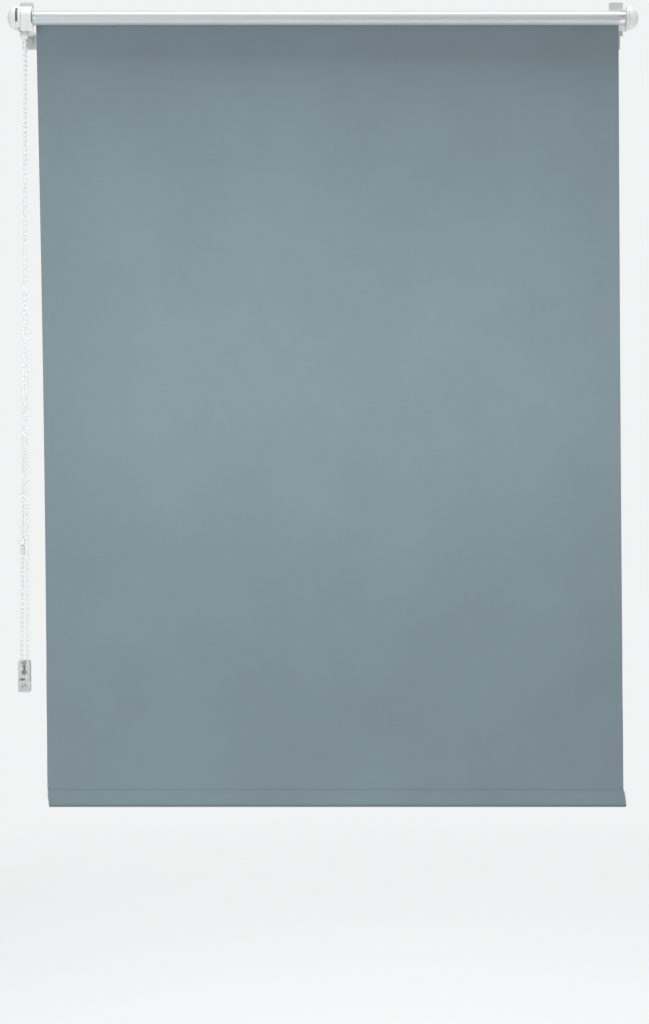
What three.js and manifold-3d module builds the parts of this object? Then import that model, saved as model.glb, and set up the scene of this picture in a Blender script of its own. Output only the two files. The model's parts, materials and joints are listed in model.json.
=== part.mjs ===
// Mini roller blackout blind that clamps on a window sash, with a bead chain drive.
// Millimetres. X runs to the right seen from the room, Y towards the window, Z up.
// The origin is the middle of the sash's top front edge, between the two carriers.
// At rest the cloth is fully lowered.
import * as THREE from 'three';
import { mergeVertices } from 'three/addons/utils/BufferGeometryUtils.js';
import Module from 'manifold-3d';

const wasm = await Module();
wasm.setup();

// Clearances that every fit uses
const seatGap = 0.3; // between two pieces that rest on each other
const runGap = 0.35; // round a shaft or pin that turns or slides
const cutOver = 2; // how far a cutting shape passes the faces that it cuts
const weldTolerance = 1e-4; // vertices closer than this are one

// Steps of round shapes
const fineSteps = 28;
const plainSteps = 20;
const smallSteps = 12;
const flatSteps = 8;

// Cloth
const clothWidth = 750;
const clothThickness = 0.35;
const clothDrop = 1017; // from the roll's axis to the bottom of the hem
const clothSkew = 10.7; // the cloth runs off to the right by this on its way down
const clothMarginLeft = 1.3; // bare tube beside the cloth
const clothMarginRight = 6.3;
const clothWrapShare = 0.92; // share of a turn still wound at rest, up to the tube's groove

// Main folds of the hanging cloth
const edgeCurlDepth = 5; // the side edges curl towards the window
const edgeCurlWidth = 46;
const edgeDrawIn = 1.6; // the edges are drawn in at half height
const lowWaveDepth = 2.4; // soft waves above the hem
const lowWaveLength = 210;
const lowWaveSlope = 1.6; // millimetres sideways for each millimetre down
const lowWaveStartShare = 0.78; // share of the cloth's length above the waves
const sheetColumns = 18;
const sheetRows = 18;

// Roller tube, with the groove that holds the cloth's spline
const tubeOuterRadius = 8.5;
const tubeWall = 0.8;
const tubeClothGap = 0.2;
const grooveWidth = 2.6;
const grooveDepth = 2.4;
const splineRadius = 0.8;

// Place of the roll: in front of and above the sash's edge
const axisForward = 19;
const axisHeight = 15.7;

// Hem pocket and the bar in it
const hemHeight = 20;
const hemShift = 2.8; // the pocket lies this far right of the cloth above it
const barHeight = 14;
const barThickness = 3;
const barCapDepth = 6;
const barCapLip = 0.8;
const seamThickness = 1.1;

// Carriers that clamp on the sash
const sashThickness = 18;
const carrierWidth = 18;
const carrierWall = 2.4;
const carrierFrontWall = 2.2;
const carrierRise = 38.4; // above the sash's top
const carrierLip = 4.6; // below the sash's top
const carrierLegDrop = 17;
const carrierLegPlay = 8.2; // from the sash's back face to the rear leg at rest
const carrierGusset = 6;
const gussetWidth = 3;
const rightCarrierInset = 1.8; // from the right bracket's cheek to the carrier

// Clamp screw, its thumb wheel and its pad
const clampScrewRadius = 2;
const clampScrewDrop = 9; // below the sash's top
const clampBossRadius = 5;
const clampBossLength = 3;
const clampPadRadius = 5.5;
const clampPadThickness = 3.2;
const clampTipDepth = 1.8;
const clampWheelRadius = 7;
const clampWheelThickness = 5;
const clampWheelGap = 5; // from the boss to the wheel at rest
const clampWheelFlutes = 10;
const clampFluteRadius = 1.2;

// Brackets, left for the drive and right for the idler
const bracketPlate = 2.1;
const bracketCheek = 2.3;
const leftBracketBottom = -4.5;
const rightBracketBottom = 1.6;
const rightBracketTop = 28.4;
const cheekNotchHeight = 17.4; // in the left cheek's front, beside the drive
const cheekNotchDepth = 9;
const cheekNotchRaise = 1.9; // from the axis to the notch's middle
const bracketScrewRadius = 1.5;
const bracketScrewHead = 2.9;
const bracketScrewHeadDepth = 1;
const bracketScrewHeight = 4; // above the carrier's gusset

// Domed end caps
const capRadius = 15.2;
const capWall = 1.6;
const leftCapLength = 11.5;
const rightCapLength = 13.5;
const capPower = 1.9; // 2 would be an ellipse, 1 a cone
const domeSteps = 6;

// Chain, wheel and guide
const beadPitch = 6;
const beadRadius = 2.25;
const linkRadius = 0.6;
const wheelPockets = 8;
const guideBeads = 2; // beads in the half turn round the guide post
const chainSides = 4;
const wheelWidth = 7;
const wheelRim = 0.75; // the wheel's disc stands this far past the pitch circle
const pocketGap = 0.4;
const linkGrooveWidth = 2.6;
const linkGrooveDepth = 2.2;
const hubRadius = 4.6;

// Drive housing
const housingRadius = 14.5;
const housingWall = 2.1;
const housingSide = 4.8; // the thick wall beside the roller
const housingBottom = -3;
const housingPlate = 3.6;
const guideThickness = 2;
const guideHoleRadius = 3.2;
const guardWidth = 6.6;
const guardHeight = 10.6;
const guardDrop = 1.1; // below the housing's mouth
const guardThickness = 1.4;
const guardRibs = 2;
const guardRibDepth = 0.8;
const guardRibWidth = 1.5;
const guardShift = 8.5; // from the wheel's middle to the guard's middle

// Spindle and clutch spring
const spindleRadius = 3;
const spindleReach = 34; // into the tube
const clutchWire = 0.7;
const clutchPitch = 1.3;
const clutchCurls = 4;
const clutchInset = 8; // from the tube's end to the first curl

// Plugs in the tube
const plugLength = 32;
const plugFlange = 1.5;
const plugFlangeRadius = 10.8;
const plugFit = 0.3;
const plugWall = 2.4;

// Idler pin and its spring
const idlerPinRadius = 2;
const idlerPinCollar = 3.4;
const idlerCollarWidth = 2;
const idlerPinTravel = 7.2; // far enough to clear the bracket's cheek
const idlerWire = 0.6;
const idlerCurls = 5;
const idlerSpringLength = 14;

// Stop beads and the connector on the chain
const stopRadius = 4.5;
const stopGap = 2; // from the guide to the stop that meets it first
const chainTravel = 648.4; // of the chain as the cloth goes all the way up
const chainSpare = 197.6; // what a strand has beyond the chain's travel
const connectorRadius = 3.3;
const connectorLength = 12;
const chainBore = 2.6;

// Chain holder on the sash's face
const holderShift = -5.8; // from the wheel's middle to the holder's middle
const holderWidth = 15.6;
const holderHeight = 41;
const holderTopAbove = 18; // above the guide post
const holderPlate = 1.5;
const holderPad = 1;
const holderDepth = 9.2; // inside, from the plate to the cover's front wall
const holderWall = 1.3;
const holderBandDrop = 6.5; // from the guide post to the slot across the cover
const holderBandHeight = 1.6;
const holderNotchDepth = 13;
const holderNotchWidth = 9.4;
const holderScrewRadius = 1.4;
const holderScrewHead = 2.4;
const holderScrewDrop = 15; // below the guide post
const holderEyeRadius = 1.1;
const holderEyeRaise = 14;
const holderEyeShift = 4.8;

// Worked out from the sizes above
const axisY = -axisForward;
const axisZ = axisHeight;
const tubeLength = clothMarginLeft + clothWidth + clothMarginRight;
const halfTube = tubeLength / 2;
const clothInnerRadius = tubeOuterRadius + tubeClothGap;
const clothOuterRadius = clothInnerRadius + clothThickness;
const sheetY = axisY + (clothInnerRadius + clothOuterRadius) / 2;
const clothLeft = -halfTube + clothMarginLeft;
const clothMiddle = clothLeft + clothWidth / 2;
const hemBottom = axisZ - clothDrop;
const hemTop = hemBottom + hemHeight;
const sheetTop = axisZ - seatGap;
const sheetBottom = hemTop + seatGap;
const hemMiddle = clothMiddle + clothSkew + hemShift;
const hemHalf = clothWidth / 2;
const pocketHalf = barThickness / 2 + seatGap + clothThickness;
const plateBack = -carrierFrontWall - seatGap; // the back of a bracket's plate
const plateFront = plateBack - bracketPlate;
const flatBack = plateFront - seatGap; // the flat back of what stands before a plate
const pitchRadius = wheelPockets * beadPitch / (2 * Math.PI);
const guideRadius = 2 * guideBeads * beadPitch / (2 * Math.PI);
const housingRight = -halfTube - seatGap - plugFlange - seatGap - 2 * seatGap;
const cavityRight = housingRight - housingSide;
const wheelX = cavityRight - 2 * seatGap - wheelWidth / 2;
const cavityLeft = wheelX - wheelWidth / 2 - 2 * seatGap;
const housingLeft = cavityLeft;
const platePieceLeft = housingLeft - seatGap - housingPlate;
const leftCheekRight = platePieceLeft - seatGap;
const leftCheekLeft = leftCheekRight - bracketCheek;
const rightCheekLeft = halfTube + seatGap + plugFlange + seatGap;
const rightCheekRight = rightCheekLeft + bracketCheek;
const leftCarrierX = wheelX;
const rightCarrierX = rightCheekLeft - rightCarrierInset - carrierWidth / 2;
const cavityRadius = housingRadius - housingWall;
const holderY = -holderPad - holderPlate - holderDepth / 2 - 2 * seatGap;
const holderX = wheelX + holderShift;
const strandBeads = Math.round((chainTravel + chainSpare) / beadPitch);
const strandLength = strandBeads * beadPitch;
const strandForward = holderY - (axisY - pitchRadius);
const strandAside = holderShift + guideRadius;
const strandDrop = Math.sqrt(strandLength ** 2 - strandForward ** 2 - strandAside ** 2);
const guideZ = axisZ - strandDrop;
const clampScrewZ = -clampScrewDrop;
const legFront = sashThickness + carrierLegPlay;
const legBack = legFront + carrierWall;
const boreRadius = tubeOuterRadius - tubeWall;
const grooveAngle = 2 * Math.PI * clothWrapShare;
const bracketScrewZ = carrierWall + carrierGusset + bracketScrewHeight;

// The chain's strands, from where they leave the wheel to where they meet the guide post
const frontStrand = {
  high: new THREE.Vector3(wheelX, axisY - pitchRadius, axisZ),
  low: new THREE.Vector3(holderX + guideRadius, holderY, guideZ),
};
const rearStrand = {
  high: new THREE.Vector3(wheelX, axisY + pitchRadius, axisZ),
  low: new THREE.Vector3(holderX - guideRadius, holderY, guideZ),
};

// Finishes
const finish = (color, roughness, metalness = 0) =>
  new THREE.MeshStandardMaterial({ color, roughness, metalness });
const white = finish(0xf0f1f0, 0.42);
const grey = finish(0xb9bcbb, 0.5);
const clear = finish(0xc3c8ca, 0.3);
const cloth = finish(0x84989f, 0.9);
const silver = finish(0xc9d0d3, 0.45, 0.3);
const aluminium = finish(0xcfd2d4, 0.32, 1);
const steel = finish(0xa9adb0, 0.35, 1);
const rubber = finish(0xc9cac7, 0.85);
const foam = finish(0xe6e6e2, 0.9);

// Solids

/** Turns a closed geometry into a solid, with its faces out. */
function solidOf(geometry) {
  const bare = geometry.clone();
  bare.deleteAttribute('normal');
  bare.deleteAttribute('uv');
  const merged = mergeVertices(bare, weldTolerance);
  const spots = merged.attributes.position.array;
  const kept = [];
  const index = merged.index.array;
  let volume = 0;
  const [a, b, c] = [new THREE.Vector3(), new THREE.Vector3(), new THREE.Vector3()];
  for (let i = 0; i < index.length; i += 3) {
    const [p, q, r] = [index[i], index[i + 1], index[i + 2]];
    if (p === q || q === r || r === p) {
      continue;
    }
    kept.push(p, q, r);
    a.fromArray(spots, 3 * p);
    b.fromArray(spots, 3 * q);
    c.fromArray(spots, 3 * r);
    volume += a.dot(b.cross(c));
  }
  if (volume < 0) {
    kept.reverse();
  }
  const mesh = new wasm.Mesh({
    numProp: 3,
    vertProperties: new Float32Array(spots),
    triVerts: new Uint32Array(kept),
  });
  return new wasm.Manifold(mesh);
}

/** Joins solids into one. */
function join(first, ...others) {
  return others.reduce((whole, other) => whole.add(other), first);
}

/** Cuts solids out of the first. */
function cut(first, ...others) {
  return others.reduce((whole, other) => whole.subtract(other), first);
}

/** A block between two corners. */
function block([x0, y0, z0], [x1, y1, z1]) {
  const geometry = new THREE.BoxGeometry(x1 - x0, y1 - y0, z1 - z0);
  return solidOf(geometry.translate((x0 + x1) / 2, (y0 + y1) / 2, (z0 + z1) / 2));
}

/** Points of an arc, from one angle to another. */
function arc(u, v, radius, from, to, steps) {
  return Array.from({ length: steps + 1 }, (_, i) => {
    const angle = from + (to - from) * i / steps;
    return [u + radius * Math.cos(angle), v + radius * Math.sin(angle)];
  });
}

/** Two places in rising order. */
function rising([a, b]) {
  return [Math.min(a, b), Math.max(a, b)];
}

/** A slab whose outline lies in Y and Z, between two places on X. */
function slabX(outline, x0, x1, holes = []) {
  const turn = new THREE.Matrix4().set(0, 0, 1, x0, 1, 0, 0, 0, 0, 1, 0, 0, 0, 0, 0, 1);
  return solidOf(extruded(outline, x1 - x0, holes).applyMatrix4(turn));
}

/** A slab whose outline lies in X and Z, between two places on Y. */
function slabY(outline, y0, y1, holes = []) {
  const turn = new THREE.Matrix4().set(1, 0, 0, 0, 0, 0, -1, y1, 0, 1, 0, 0, 0, 0, 0, 1);
  return solidOf(extruded(outline, y1 - y0, holes).applyMatrix4(turn));
}

function extruded(outline, depth, holes) {
  const shape = new THREE.Shape(outline.map(([u, v]) => new THREE.Vector2(u, v)));
  shape.holes = holes.map((hole) => new THREE.Path(hole.map(([u, v]) => new THREE.Vector2(u, v))));
  return new THREE.ExtrudeGeometry(shape, { depth, bevelEnabled: false });
}

/** A piece turned about an X axis. The profile holds [x, radius] pairs. */
function turnedX(profile, y, z, steps) {
  const points = profile.map(([x, radius]) => new THREE.Vector2(radius, x));
  const geometry = new THREE.LatheGeometry(points, steps).rotateZ(-Math.PI / 2);
  return solidOf(geometry.translate(0, y, z));
}

/** A piece turned about a Y axis. The profile holds [y, radius] pairs. */
function turnedY(profile, x, z, steps) {
  const points = profile.map(([y, radius]) => new THREE.Vector2(radius, y));
  return solidOf(new THREE.LatheGeometry(points, steps).translate(x, 0, z));
}

/** A round rod along X. */
function rodX(x0, x1, radius, y, z, steps) {
  return turnedX([[x0, 0], [x0, radius], [x1, radius], [x1, 0]], y, z, steps);
}

/** A round rod along Y. */
function rodY(y0, y1, radius, x, z, steps) {
  return turnedY([[y0, 0], [y0, radius], [y1, radius], [y1, 0]], x, z, steps);
}

/** A round rod from one point to another. */
function rodBetween(from, to, radius, steps) {
  const along = to.clone().sub(from);
  const geometry = new THREE.CylinderGeometry(radius, radius, along.length(), steps);
  const up = new THREE.Vector3(0, 1, 0);
  geometry.applyQuaternion(new THREE.Quaternion().setFromUnitVectors(up, along.clone().normalize()));
  const middle = from.clone().add(to).multiplyScalar(1 / 2);
  return solidOf(geometry.translate(middle.x, middle.y, middle.z));
}

const part = new THREE.Group();

/** Puts a solid in the part as a named piece. */
function place(name, solid, material) {
  const { vertProperties, triVerts, numProp } = solid.getMesh();
  const geometry = new THREE.BufferGeometry();
  const positions = new Float32Array(vertProperties.length / numProp * 3);
  for (let i = 0; i < positions.length / 3; i += 1) {
    positions.set(vertProperties.subarray(i * numProp, i * numProp + 3), 3 * i);
  }
  geometry.setAttribute('position', new THREE.BufferAttribute(positions, 3));
  geometry.setIndex(new THREE.BufferAttribute(new Uint32Array(triVerts), 1));
  geometry.computeVertexNormals();
  const mesh = new THREE.Mesh(geometry, material);
  mesh.name = name;
  part.add(mesh);
}

// Carriers and their clamps

/** A hook over the sash: front plate, bridge, and a rear leg that holds the clamp screw. */
function carrier(name, x) {
  const [left, right] = [x - carrierWidth / 2, x + carrierWidth / 2];
  const front = block([left, -carrierFrontWall, -carrierLip], [right, 0, carrierRise]);
  const bridge = block([left, -carrierFrontWall, 0], [right, legBack, carrierWall]);
  const leg = block([left, legFront, -carrierLegDrop], [right, legBack, carrierWall]);
  const boss = rodY(legFront, legBack + clampBossLength, clampBossRadius, x, clampScrewZ, plainSteps);
  const gussets = [left, right - gussetWidth].map((side) => slabX(
    [[-carrierFrontWall, 0], [carrierGusset, 0], [carrierGusset, carrierWall],
      [0, carrierWall + carrierGusset], [-carrierFrontWall, carrierWall + carrierGusset]],
    side, side + gussetWidth));
  const bore = rodY(legFront - cutOver, legBack + clampBossLength + cutOver,
    clampScrewRadius + runGap, x, clampScrewZ, plainSteps);
  const screwHole = rodY(-carrierFrontWall - cutOver, cutOver, bracketScrewRadius + seatGap,
    x, bracketScrewZ, smallSteps);
  place(name, cut(join(front, bridge, leg, boss, ...gussets), bore, screwHole), grey);
}

/** The pad that meets the sash's back face, with a socket for the screw's tip. */
function clampPad(name, x) {
  const face = sashThickness;
  const back = face + clampPadThickness;
  const pad = rodY(face, back, clampPadRadius, x, clampScrewZ, plainSteps);
  const socket = rodY(back - clampTipDepth, back + cutOver, clampScrewRadius + runGap,
    x, clampScrewZ, plainSteps);
  place(name, cut(pad, socket), rubber);
}

/** The screw from the pad's socket through the leg's boss to the thumb wheel. */
function clampScrew(name, x) {
  const tip = sashThickness + clampPadThickness - clampTipDepth + seatGap;
  const end = legBack + clampBossLength + clampWheelGap + clampWheelThickness;
  const bevel = clampScrewRadius / 4;
  const profile = [[tip, 0], [tip, clampScrewRadius - bevel], [tip + bevel, clampScrewRadius],
    [end, clampScrewRadius], [end, 0]];
  place(name, turnedY(profile, x, clampScrewZ, plainSteps), steel);
}

/** The fluted wheel on the screw's end. */
function thumbWheel(name, x) {
  const inner = legBack + clampBossLength + clampWheelGap;
  const outer = inner + clampWheelThickness;
  const bevel = clampFluteRadius / 2;
  const profile = [[inner, 0], [inner, clampWheelRadius - bevel], [inner + bevel, clampWheelRadius],
    [outer - bevel, clampWheelRadius], [outer, clampWheelRadius - bevel], [outer, 0]];
  const flutes = Array.from({ length: clampWheelFlutes }, (_, i) => {
    const angle = 2 * Math.PI * i / clampWheelFlutes;
    return rodY(inner - cutOver, outer + cutOver, clampFluteRadius,
      x + clampWheelRadius * Math.cos(angle), clampScrewZ + clampWheelRadius * Math.sin(angle), flatSteps);
  });
  const bore = rodY(inner - cutOver, outer + cutOver, clampScrewRadius + seatGap,
    x, clampScrewZ, plainSteps);
  const wheel = turnedY(profile, x, clampScrewZ, plainSteps);
  place(name, cut(wheel, bore, ...flutes), white);
}

// Brackets

/** A cheek's outline in Y and Z: flat at the back, round at the front. */
function cheekOutline(radius, back) {
  return [[back, axisZ - radius], [back, axisZ + radius],
    ...arc(axisY, axisZ, radius, Math.PI / 2, 3 * Math.PI / 2, plainSteps)];
}

/** Plate, cheek and the hole that the bracket's screw passes. */
function bracket(x, plateLeft, plateRight, bottom, top, cheekLeft) {
  const plate = block([plateLeft, plateFront, bottom], [plateRight, plateBack, top]);
  const cheek = slabX(cheekOutline(capRadius, plateBack), cheekLeft, cheekLeft + bracketCheek);
  const z = bracketScrewZ;
  const hole = rodY(plateFront - cutOver, plateBack + cutOver, bracketScrewRadius + seatGap,
    x, z, smallSteps);
  const sink = rodY(plateFront - cutOver, plateFront + bracketScrewHeadDepth + seatGap,
    bracketScrewHead + seatGap, x, z, smallSteps);
  return cut(join(plate, cheek), hole, sink);
}

function brackets() {
  const socket = rodX(leftCheekLeft - cutOver, leftCheekRight + cutOver,
    spindleRadius + seatGap, axisY, axisZ, plainSteps);
  const left = bracket(leftCarrierX, leftCheekLeft, housingRight, leftBracketBottom,
    axisZ + housingRadius, leftCheekLeft);
  const notchMiddle = axisZ + cheekNotchRaise;
  const notch = block(
    [leftCheekLeft - cutOver, axisY - capRadius - cutOver, notchMiddle - cheekNotchHeight / 2],
    [leftCheekRight + seatGap / 2, axisY - capRadius + cheekNotchDepth, notchMiddle + cheekNotchHeight / 2]);
  place('bracket_left', cut(left, socket, notch), white);
  const hole = rodX(rightCheekLeft - cutOver, rightCheekRight + cutOver,
    idlerPinRadius + runGap, axisY, axisZ, plainSteps);
  const right = bracket(rightCarrierX, rightCarrierX - carrierWidth / 2, rightCheekRight,
    rightBracketBottom, rightBracketTop, rightCheekLeft);
  place('bracket_right', cut(right, hole), white);
}

/** The countersunk screw that holds a bracket on its carrier. */
function bracketScrew(name, x) {
  const head = plateFront;
  const under = head + bracketScrewHeadDepth;
  const slot = bracketScrewHeadDepth / 2;
  const profile = [[head, 0], [head, bracketScrewHead], [under, bracketScrewHead],
    [under, bracketScrewRadius], [0, bracketScrewRadius], [0, 0]];
  const z = bracketScrewZ;
  const screw = turnedY(profile, x, z, smallSteps);
  const slotCut = block([x - bracketScrewHead - cutOver, head - cutOver, z - slot / 2],
    [x + bracketScrewHead + cutOver, head + slot, z + slot / 2]);
  place(name, cut(screw, slotCut), steel);
}

/** Half of a dome's profile, from its rim at x0 to its crown. */
function domeProfile(x0, length, radius) {
  const points = Array.from({ length: domeSteps + 1 }, (_, i) => {
    const angle = Math.PI / 2 * i / domeSteps;
    const along = Math.sin(angle) ** (2 / capPower);
    const out = Math.max(Math.cos(angle), 0) ** (2 / capPower);
    return [x0 + length * along, i === domeSteps ? 0 : radius * out];
  });
  return [[x0, 0], ...points];
}

/** A hollow dome on a bracket's cheek. Its side is -1 on the left and 1 on the right. */
function endCap(name, side, x0, length) {
  const reach = 2 * capRadius;
  const outer = turnedX(domeProfile(x0, side * length, capRadius), axisY, axisZ, fineSteps);
  const inner = turnedX(domeProfile(x0 - side * cutOver, side * (length + cutOver - capWall),
    capRadius - capWall), axisY, axisZ, fineSteps);
  const ends = rising([x0 - side * cutOver, x0 + side * (length + cutOver)]);
  const squareOff = block([ends[0], flatBack, axisZ - reach], [ends[1], axisY + reach, axisZ + reach]);
  const hollow = cut(inner, block([ends[0] - cutOver, flatBack - capWall, axisZ - reach],
    [ends[1] + cutOver, axisY + reach, axisZ + reach]));
  place(name, cut(outer, squareOff, hollow), white);
}

// Drive

/** The housing's outline: round over the wheel and straight down to the mouth. */
function housingOutline(radius, back, bottom) {
  return [[back, bottom], [back, axisZ + radius],
    ...arc(axisY, axisZ, radius, Math.PI / 2, Math.PI, smallSteps), [axisY - radius, bottom]];
}

function driveHousing() {
  const shell = slabX(housingOutline(housingRadius, flatBack, housingBottom), housingLeft, housingRight);
  const hollow = slabX(housingOutline(cavityRadius, flatBack - housingWall, housingBottom - cutOver),
    housingLeft - cutOver, cavityRight);
  const bore = rodX(cavityRight - cutOver, housingRight + cutOver, hubRadius + runGap,
    axisY, axisZ, plainSteps);
  place('drive_housing', cut(shell, hollow, bore), white);
  const plate = slabX(housingOutline(housingRadius, flatBack, housingBottom),
    platePieceLeft, platePieceLeft + housingPlate);
  const hole = rodX(platePieceLeft - cutOver, platePieceLeft + housingPlate + cutOver,
    spindleRadius + seatGap, axisY, axisZ, plainSteps);
  place('drive_plate', cut(plate, hole), white);
}

/** The plate in the housing's mouth, with an eye for each strand. */
function chainGuide() {
  const front = axisY - cavityRadius + seatGap;
  const back = flatBack - housingWall - seatGap;
  const plate = block([cavityLeft + seatGap, front, housingBottom],
    [cavityRight - seatGap, back, housingBottom + guideThickness]);
  const eyes = [frontStrand, rearStrand].map((strand) => {
    const low = strandPoint(strand, (axisZ - housingBottom + cutOver) / strandDrop);
    const high = strandPoint(strand, (axisZ - housingBottom - guideThickness - cutOver) / strandDrop);
    return rodBetween(low, high, guideHoleRadius, smallSteps);
  });
  place('chain_guide', cut(plate, ...eyes), white);
}

/** The ribbed guard clipped on the front of the housing's mouth. */
function chainGuard() {
  const middle = wheelX + guardShift;
  const back = axisY - housingRadius - seatGap;
  const front = back - guardThickness;
  const bottom = housingBottom - guardDrop;
  const top = bottom + guardHeight;
  const plate = block([middle - guardWidth / 2, front, bottom], [middle + guardWidth / 2, back, top]);
  const space = guardWidth / guardRibs;
  const ribs = Array.from({ length: guardRibs }, (_, i) => {
    const x = middle - guardWidth / 2 + space * (i + 1 / 2);
    return block([x - guardRibWidth / 2, front - guardRibDepth, bottom],
      [x + guardRibWidth / 2, front + guardThickness / 2, top - guardRibWidth]);
  });
  place('chain_guard', join(plate, ...ribs), white);
}

/** The fixed spindle from the bracket's cheek into the tube. */
function spindle() {
  const left = leftCheekLeft + seatGap;
  place('spindle', rodX(left, -halfTube + spindleReach, spindleRadius, axisY, axisZ, plainSteps), steel);
}

/** The chain wheel, with a pocket for each bead, and the hub that drives the plug. */
function chainWheel() {
  const [left, right] = [wheelX - wheelWidth / 2, wheelX + wheelWidth / 2];
  const rim = pitchRadius + wheelRim;
  const hubEnd = -halfTube - seatGap - plugFlange - seatGap;
  const bevel = wheelRim;
  const disc = turnedX([[left, 0], [left, rim - bevel], [left + bevel, rim], [right - bevel, rim],
    [right, rim - bevel], [right, hubRadius], [hubEnd, hubRadius], [hubEnd, 0]], axisY, axisZ, plainSteps);
  const grooveFloor = pitchRadius - linkGrooveDepth;
  const groove = turnedX([[wheelX - linkGrooveWidth / 2, grooveFloor + linkGrooveWidth / 3],
    [wheelX - linkGrooveWidth / 2, rim + cutOver], [wheelX + linkGrooveWidth / 2, rim + cutOver],
    [wheelX + linkGrooveWidth / 2, grooveFloor + linkGrooveWidth / 3],
    [wheelX - linkGrooveWidth / 2, grooveFloor + linkGrooveWidth / 3]], axisY, axisZ, plainSteps);
  const pockets = Array.from({ length: wheelPockets }, (_, i) => {
    const angle = 2 * Math.PI * i / wheelPockets;
    const ball = new THREE.SphereGeometry(beadRadius + pocketGap, flatSteps, flatSteps / 2);
    return solidOf(ball.translate(wheelX, axisY + pitchRadius * Math.cos(angle),
      axisZ + pitchRadius * Math.sin(angle)));
  });
  const bore = rodX(left - cutOver, hubEnd + cutOver, spindleRadius + runGap, axisY, axisZ, plainSteps);
  place('chain_wheel', cut(disc, groove, bore, ...pockets), white);
}

// Round wire springs

/** A coil about an X axis, as one unbroken wire. Prints the least gap between its curls. */
function coil(name, x0, pitch, curls, radius, wire, material) {
  const [steps, sides] = [8, 5];
  const rings = curls * steps + 1;
  const vertices = [];
  for (let i = 0; i < rings; i += 1) {
    const angle = 2 * Math.PI * i / steps;
    for (let j = 0; j < sides; j += 1) {
      const turn = 2 * Math.PI * j / sides;
      const out = radius + wire / 2 * Math.cos(turn);
      vertices.push(x0 + pitch * i / steps + wire / 2 * Math.sin(turn),
        axisY + out * Math.cos(angle), axisZ + out * Math.sin(angle));
    }
  }
  const faces = ringFaces(rings, sides);
  for (let j = 1; j < sides - 1; j += 1) {
    faces.push(0, j + 1, j);
    faces.push((rings - 1) * sides, (rings - 1) * sides + j, (rings - 1) * sides + j + 1);
  }
  const solid = solidOf(indexed(vertices, faces));
  let least = Infinity;
  for (let i = 0; i < rings - steps; i += 1) {
    for (let j = 0; j < sides; j += 1) {
      for (let k = 0; k < sides; k += 1) {
        const [p, q] = [3 * (i * sides + j), 3 * ((i + steps) * sides + k)];
        least = Math.min(least, Math.hypot(vertices[p] - vertices[q],
          vertices[p + 1] - vertices[q + 1], vertices[p + 2] - vertices[q + 2]));
      }
    }
  }
  console.log(`${name}: least gap between curls ${least.toFixed(2)} mm`);
  place(name, solid, material);
}

/** Faces of a tube of rings, each with the same number of sides. */
function ringFaces(rings, sides) {
  const faces = [];
  for (let i = 0; i < rings - 1; i += 1) {
    for (let j = 0; j < sides; j += 1) {
      const [a, b] = [i * sides + j, i * sides + (j + 1) % sides];
      faces.push(a, b, b + sides);
      faces.push(a, b + sides, a + sides);
    }
  }
  return faces;
}

function indexed(vertices, faces) {
  const geometry = new THREE.BufferGeometry();
  geometry.setAttribute('position', new THREE.Float32BufferAttribute(vertices, 3));
  geometry.setIndex(faces);
  return geometry;
}

// Roller

/** A rectangle in Y and Z that stands on a radius of the tube, at the groove's angle. */
function grooveOutline(halfWidth, inner, outer) {
  const [cos, sin] = [Math.cos(grooveAngle), Math.sin(grooveAngle)];
  return [[inner, -halfWidth], [outer, -halfWidth], [outer, halfWidth], [inner, halfWidth]]
    .map(([along, aside]) => [axisY + along * cos - aside * sin, axisZ + along * sin + aside * cos]);
}

/** The tube, its wall bent in to a groove along its lower back, and the cloth's spline in the groove. */
function rollerTube() {
  const floor = tubeOuterRadius - grooveDepth;
  const outside = tubeOuterRadius + cutOver;
  const tube = rodX(-halfTube, halfTube, tubeOuterRadius, axisY, axisZ, fineSteps);
  const bore = rodX(-halfTube - cutOver, halfTube + cutOver, boreRadius, axisY, axisZ, fineSteps);
  const channel = slabX(grooveOutline(grooveWidth / 2 + tubeWall, floor - tubeWall, outside),
    -halfTube, halfTube);
  const groove = slabX(grooveOutline(grooveWidth / 2, floor, outside),
    -halfTube - cutOver, halfTube + cutOver);
  place('roller_tube', cut(join(cut(tube, bore), channel.intersect(tube)), groove), aluminium);
  const splineReach = floor + seatGap + splineRadius;
  const spline = rodX(clothLeft, clothLeft + clothWidth, splineRadius,
    axisY + splineReach * Math.cos(grooveAngle), axisZ + splineReach * Math.sin(grooveAngle), flatSteps);
  place('fabric_spline', spline, white);
}

/** The last turn of cloth still on the tube, from its back over the top and round below. */
function fabricRoll() {
  const stop = grooveAngle - grooveWidth / 2 / clothInnerRadius;
  const outer = arc(axisY, axisZ, clothOuterRadius, 0, stop, fineSteps);
  const inner = arc(axisY, axisZ, clothInnerRadius, stop, 0, fineSteps);
  place('fabric_roll', slabX([...outer, ...inner], clothLeft, clothLeft + clothWidth), silver);
}

/** A plug's barrel in the tube, with the flange outside it and the groove's keyway. */
function plugBody(side, boreStart, boreRadiusIn) {
  const mouth = side * (halfTube + seatGap);
  const radius = boreRadius - plugFit;
  const profile = [[mouth + side * plugFlange, 0], [mouth + side * plugFlange, plugFlangeRadius],
    [mouth, plugFlangeRadius], [mouth, radius], [side * (halfTube - plugLength), radius],
    [side * (halfTube - plugLength), 0]];
  const body = turnedX(profile, axisY, axisZ, fineSteps);
  const keyEnds = [side * (halfTube - plugLength - cutOver), mouth - side * seatGap / 2];
  const key = slabX(grooveOutline(grooveWidth / 2 + tubeWall + plugFit,
    tubeOuterRadius - grooveDepth - tubeWall - plugFit, tubeOuterRadius + cutOver), ...rising(keyEnds));
  const boreEnds = [side * boreStart, mouth + side * (plugFlange + cutOver)];
  const bore = rodX(...rising(boreEnds), boreRadiusIn, axisY, axisZ, plainSteps);
  return cut(body, key, bore);
}

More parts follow.
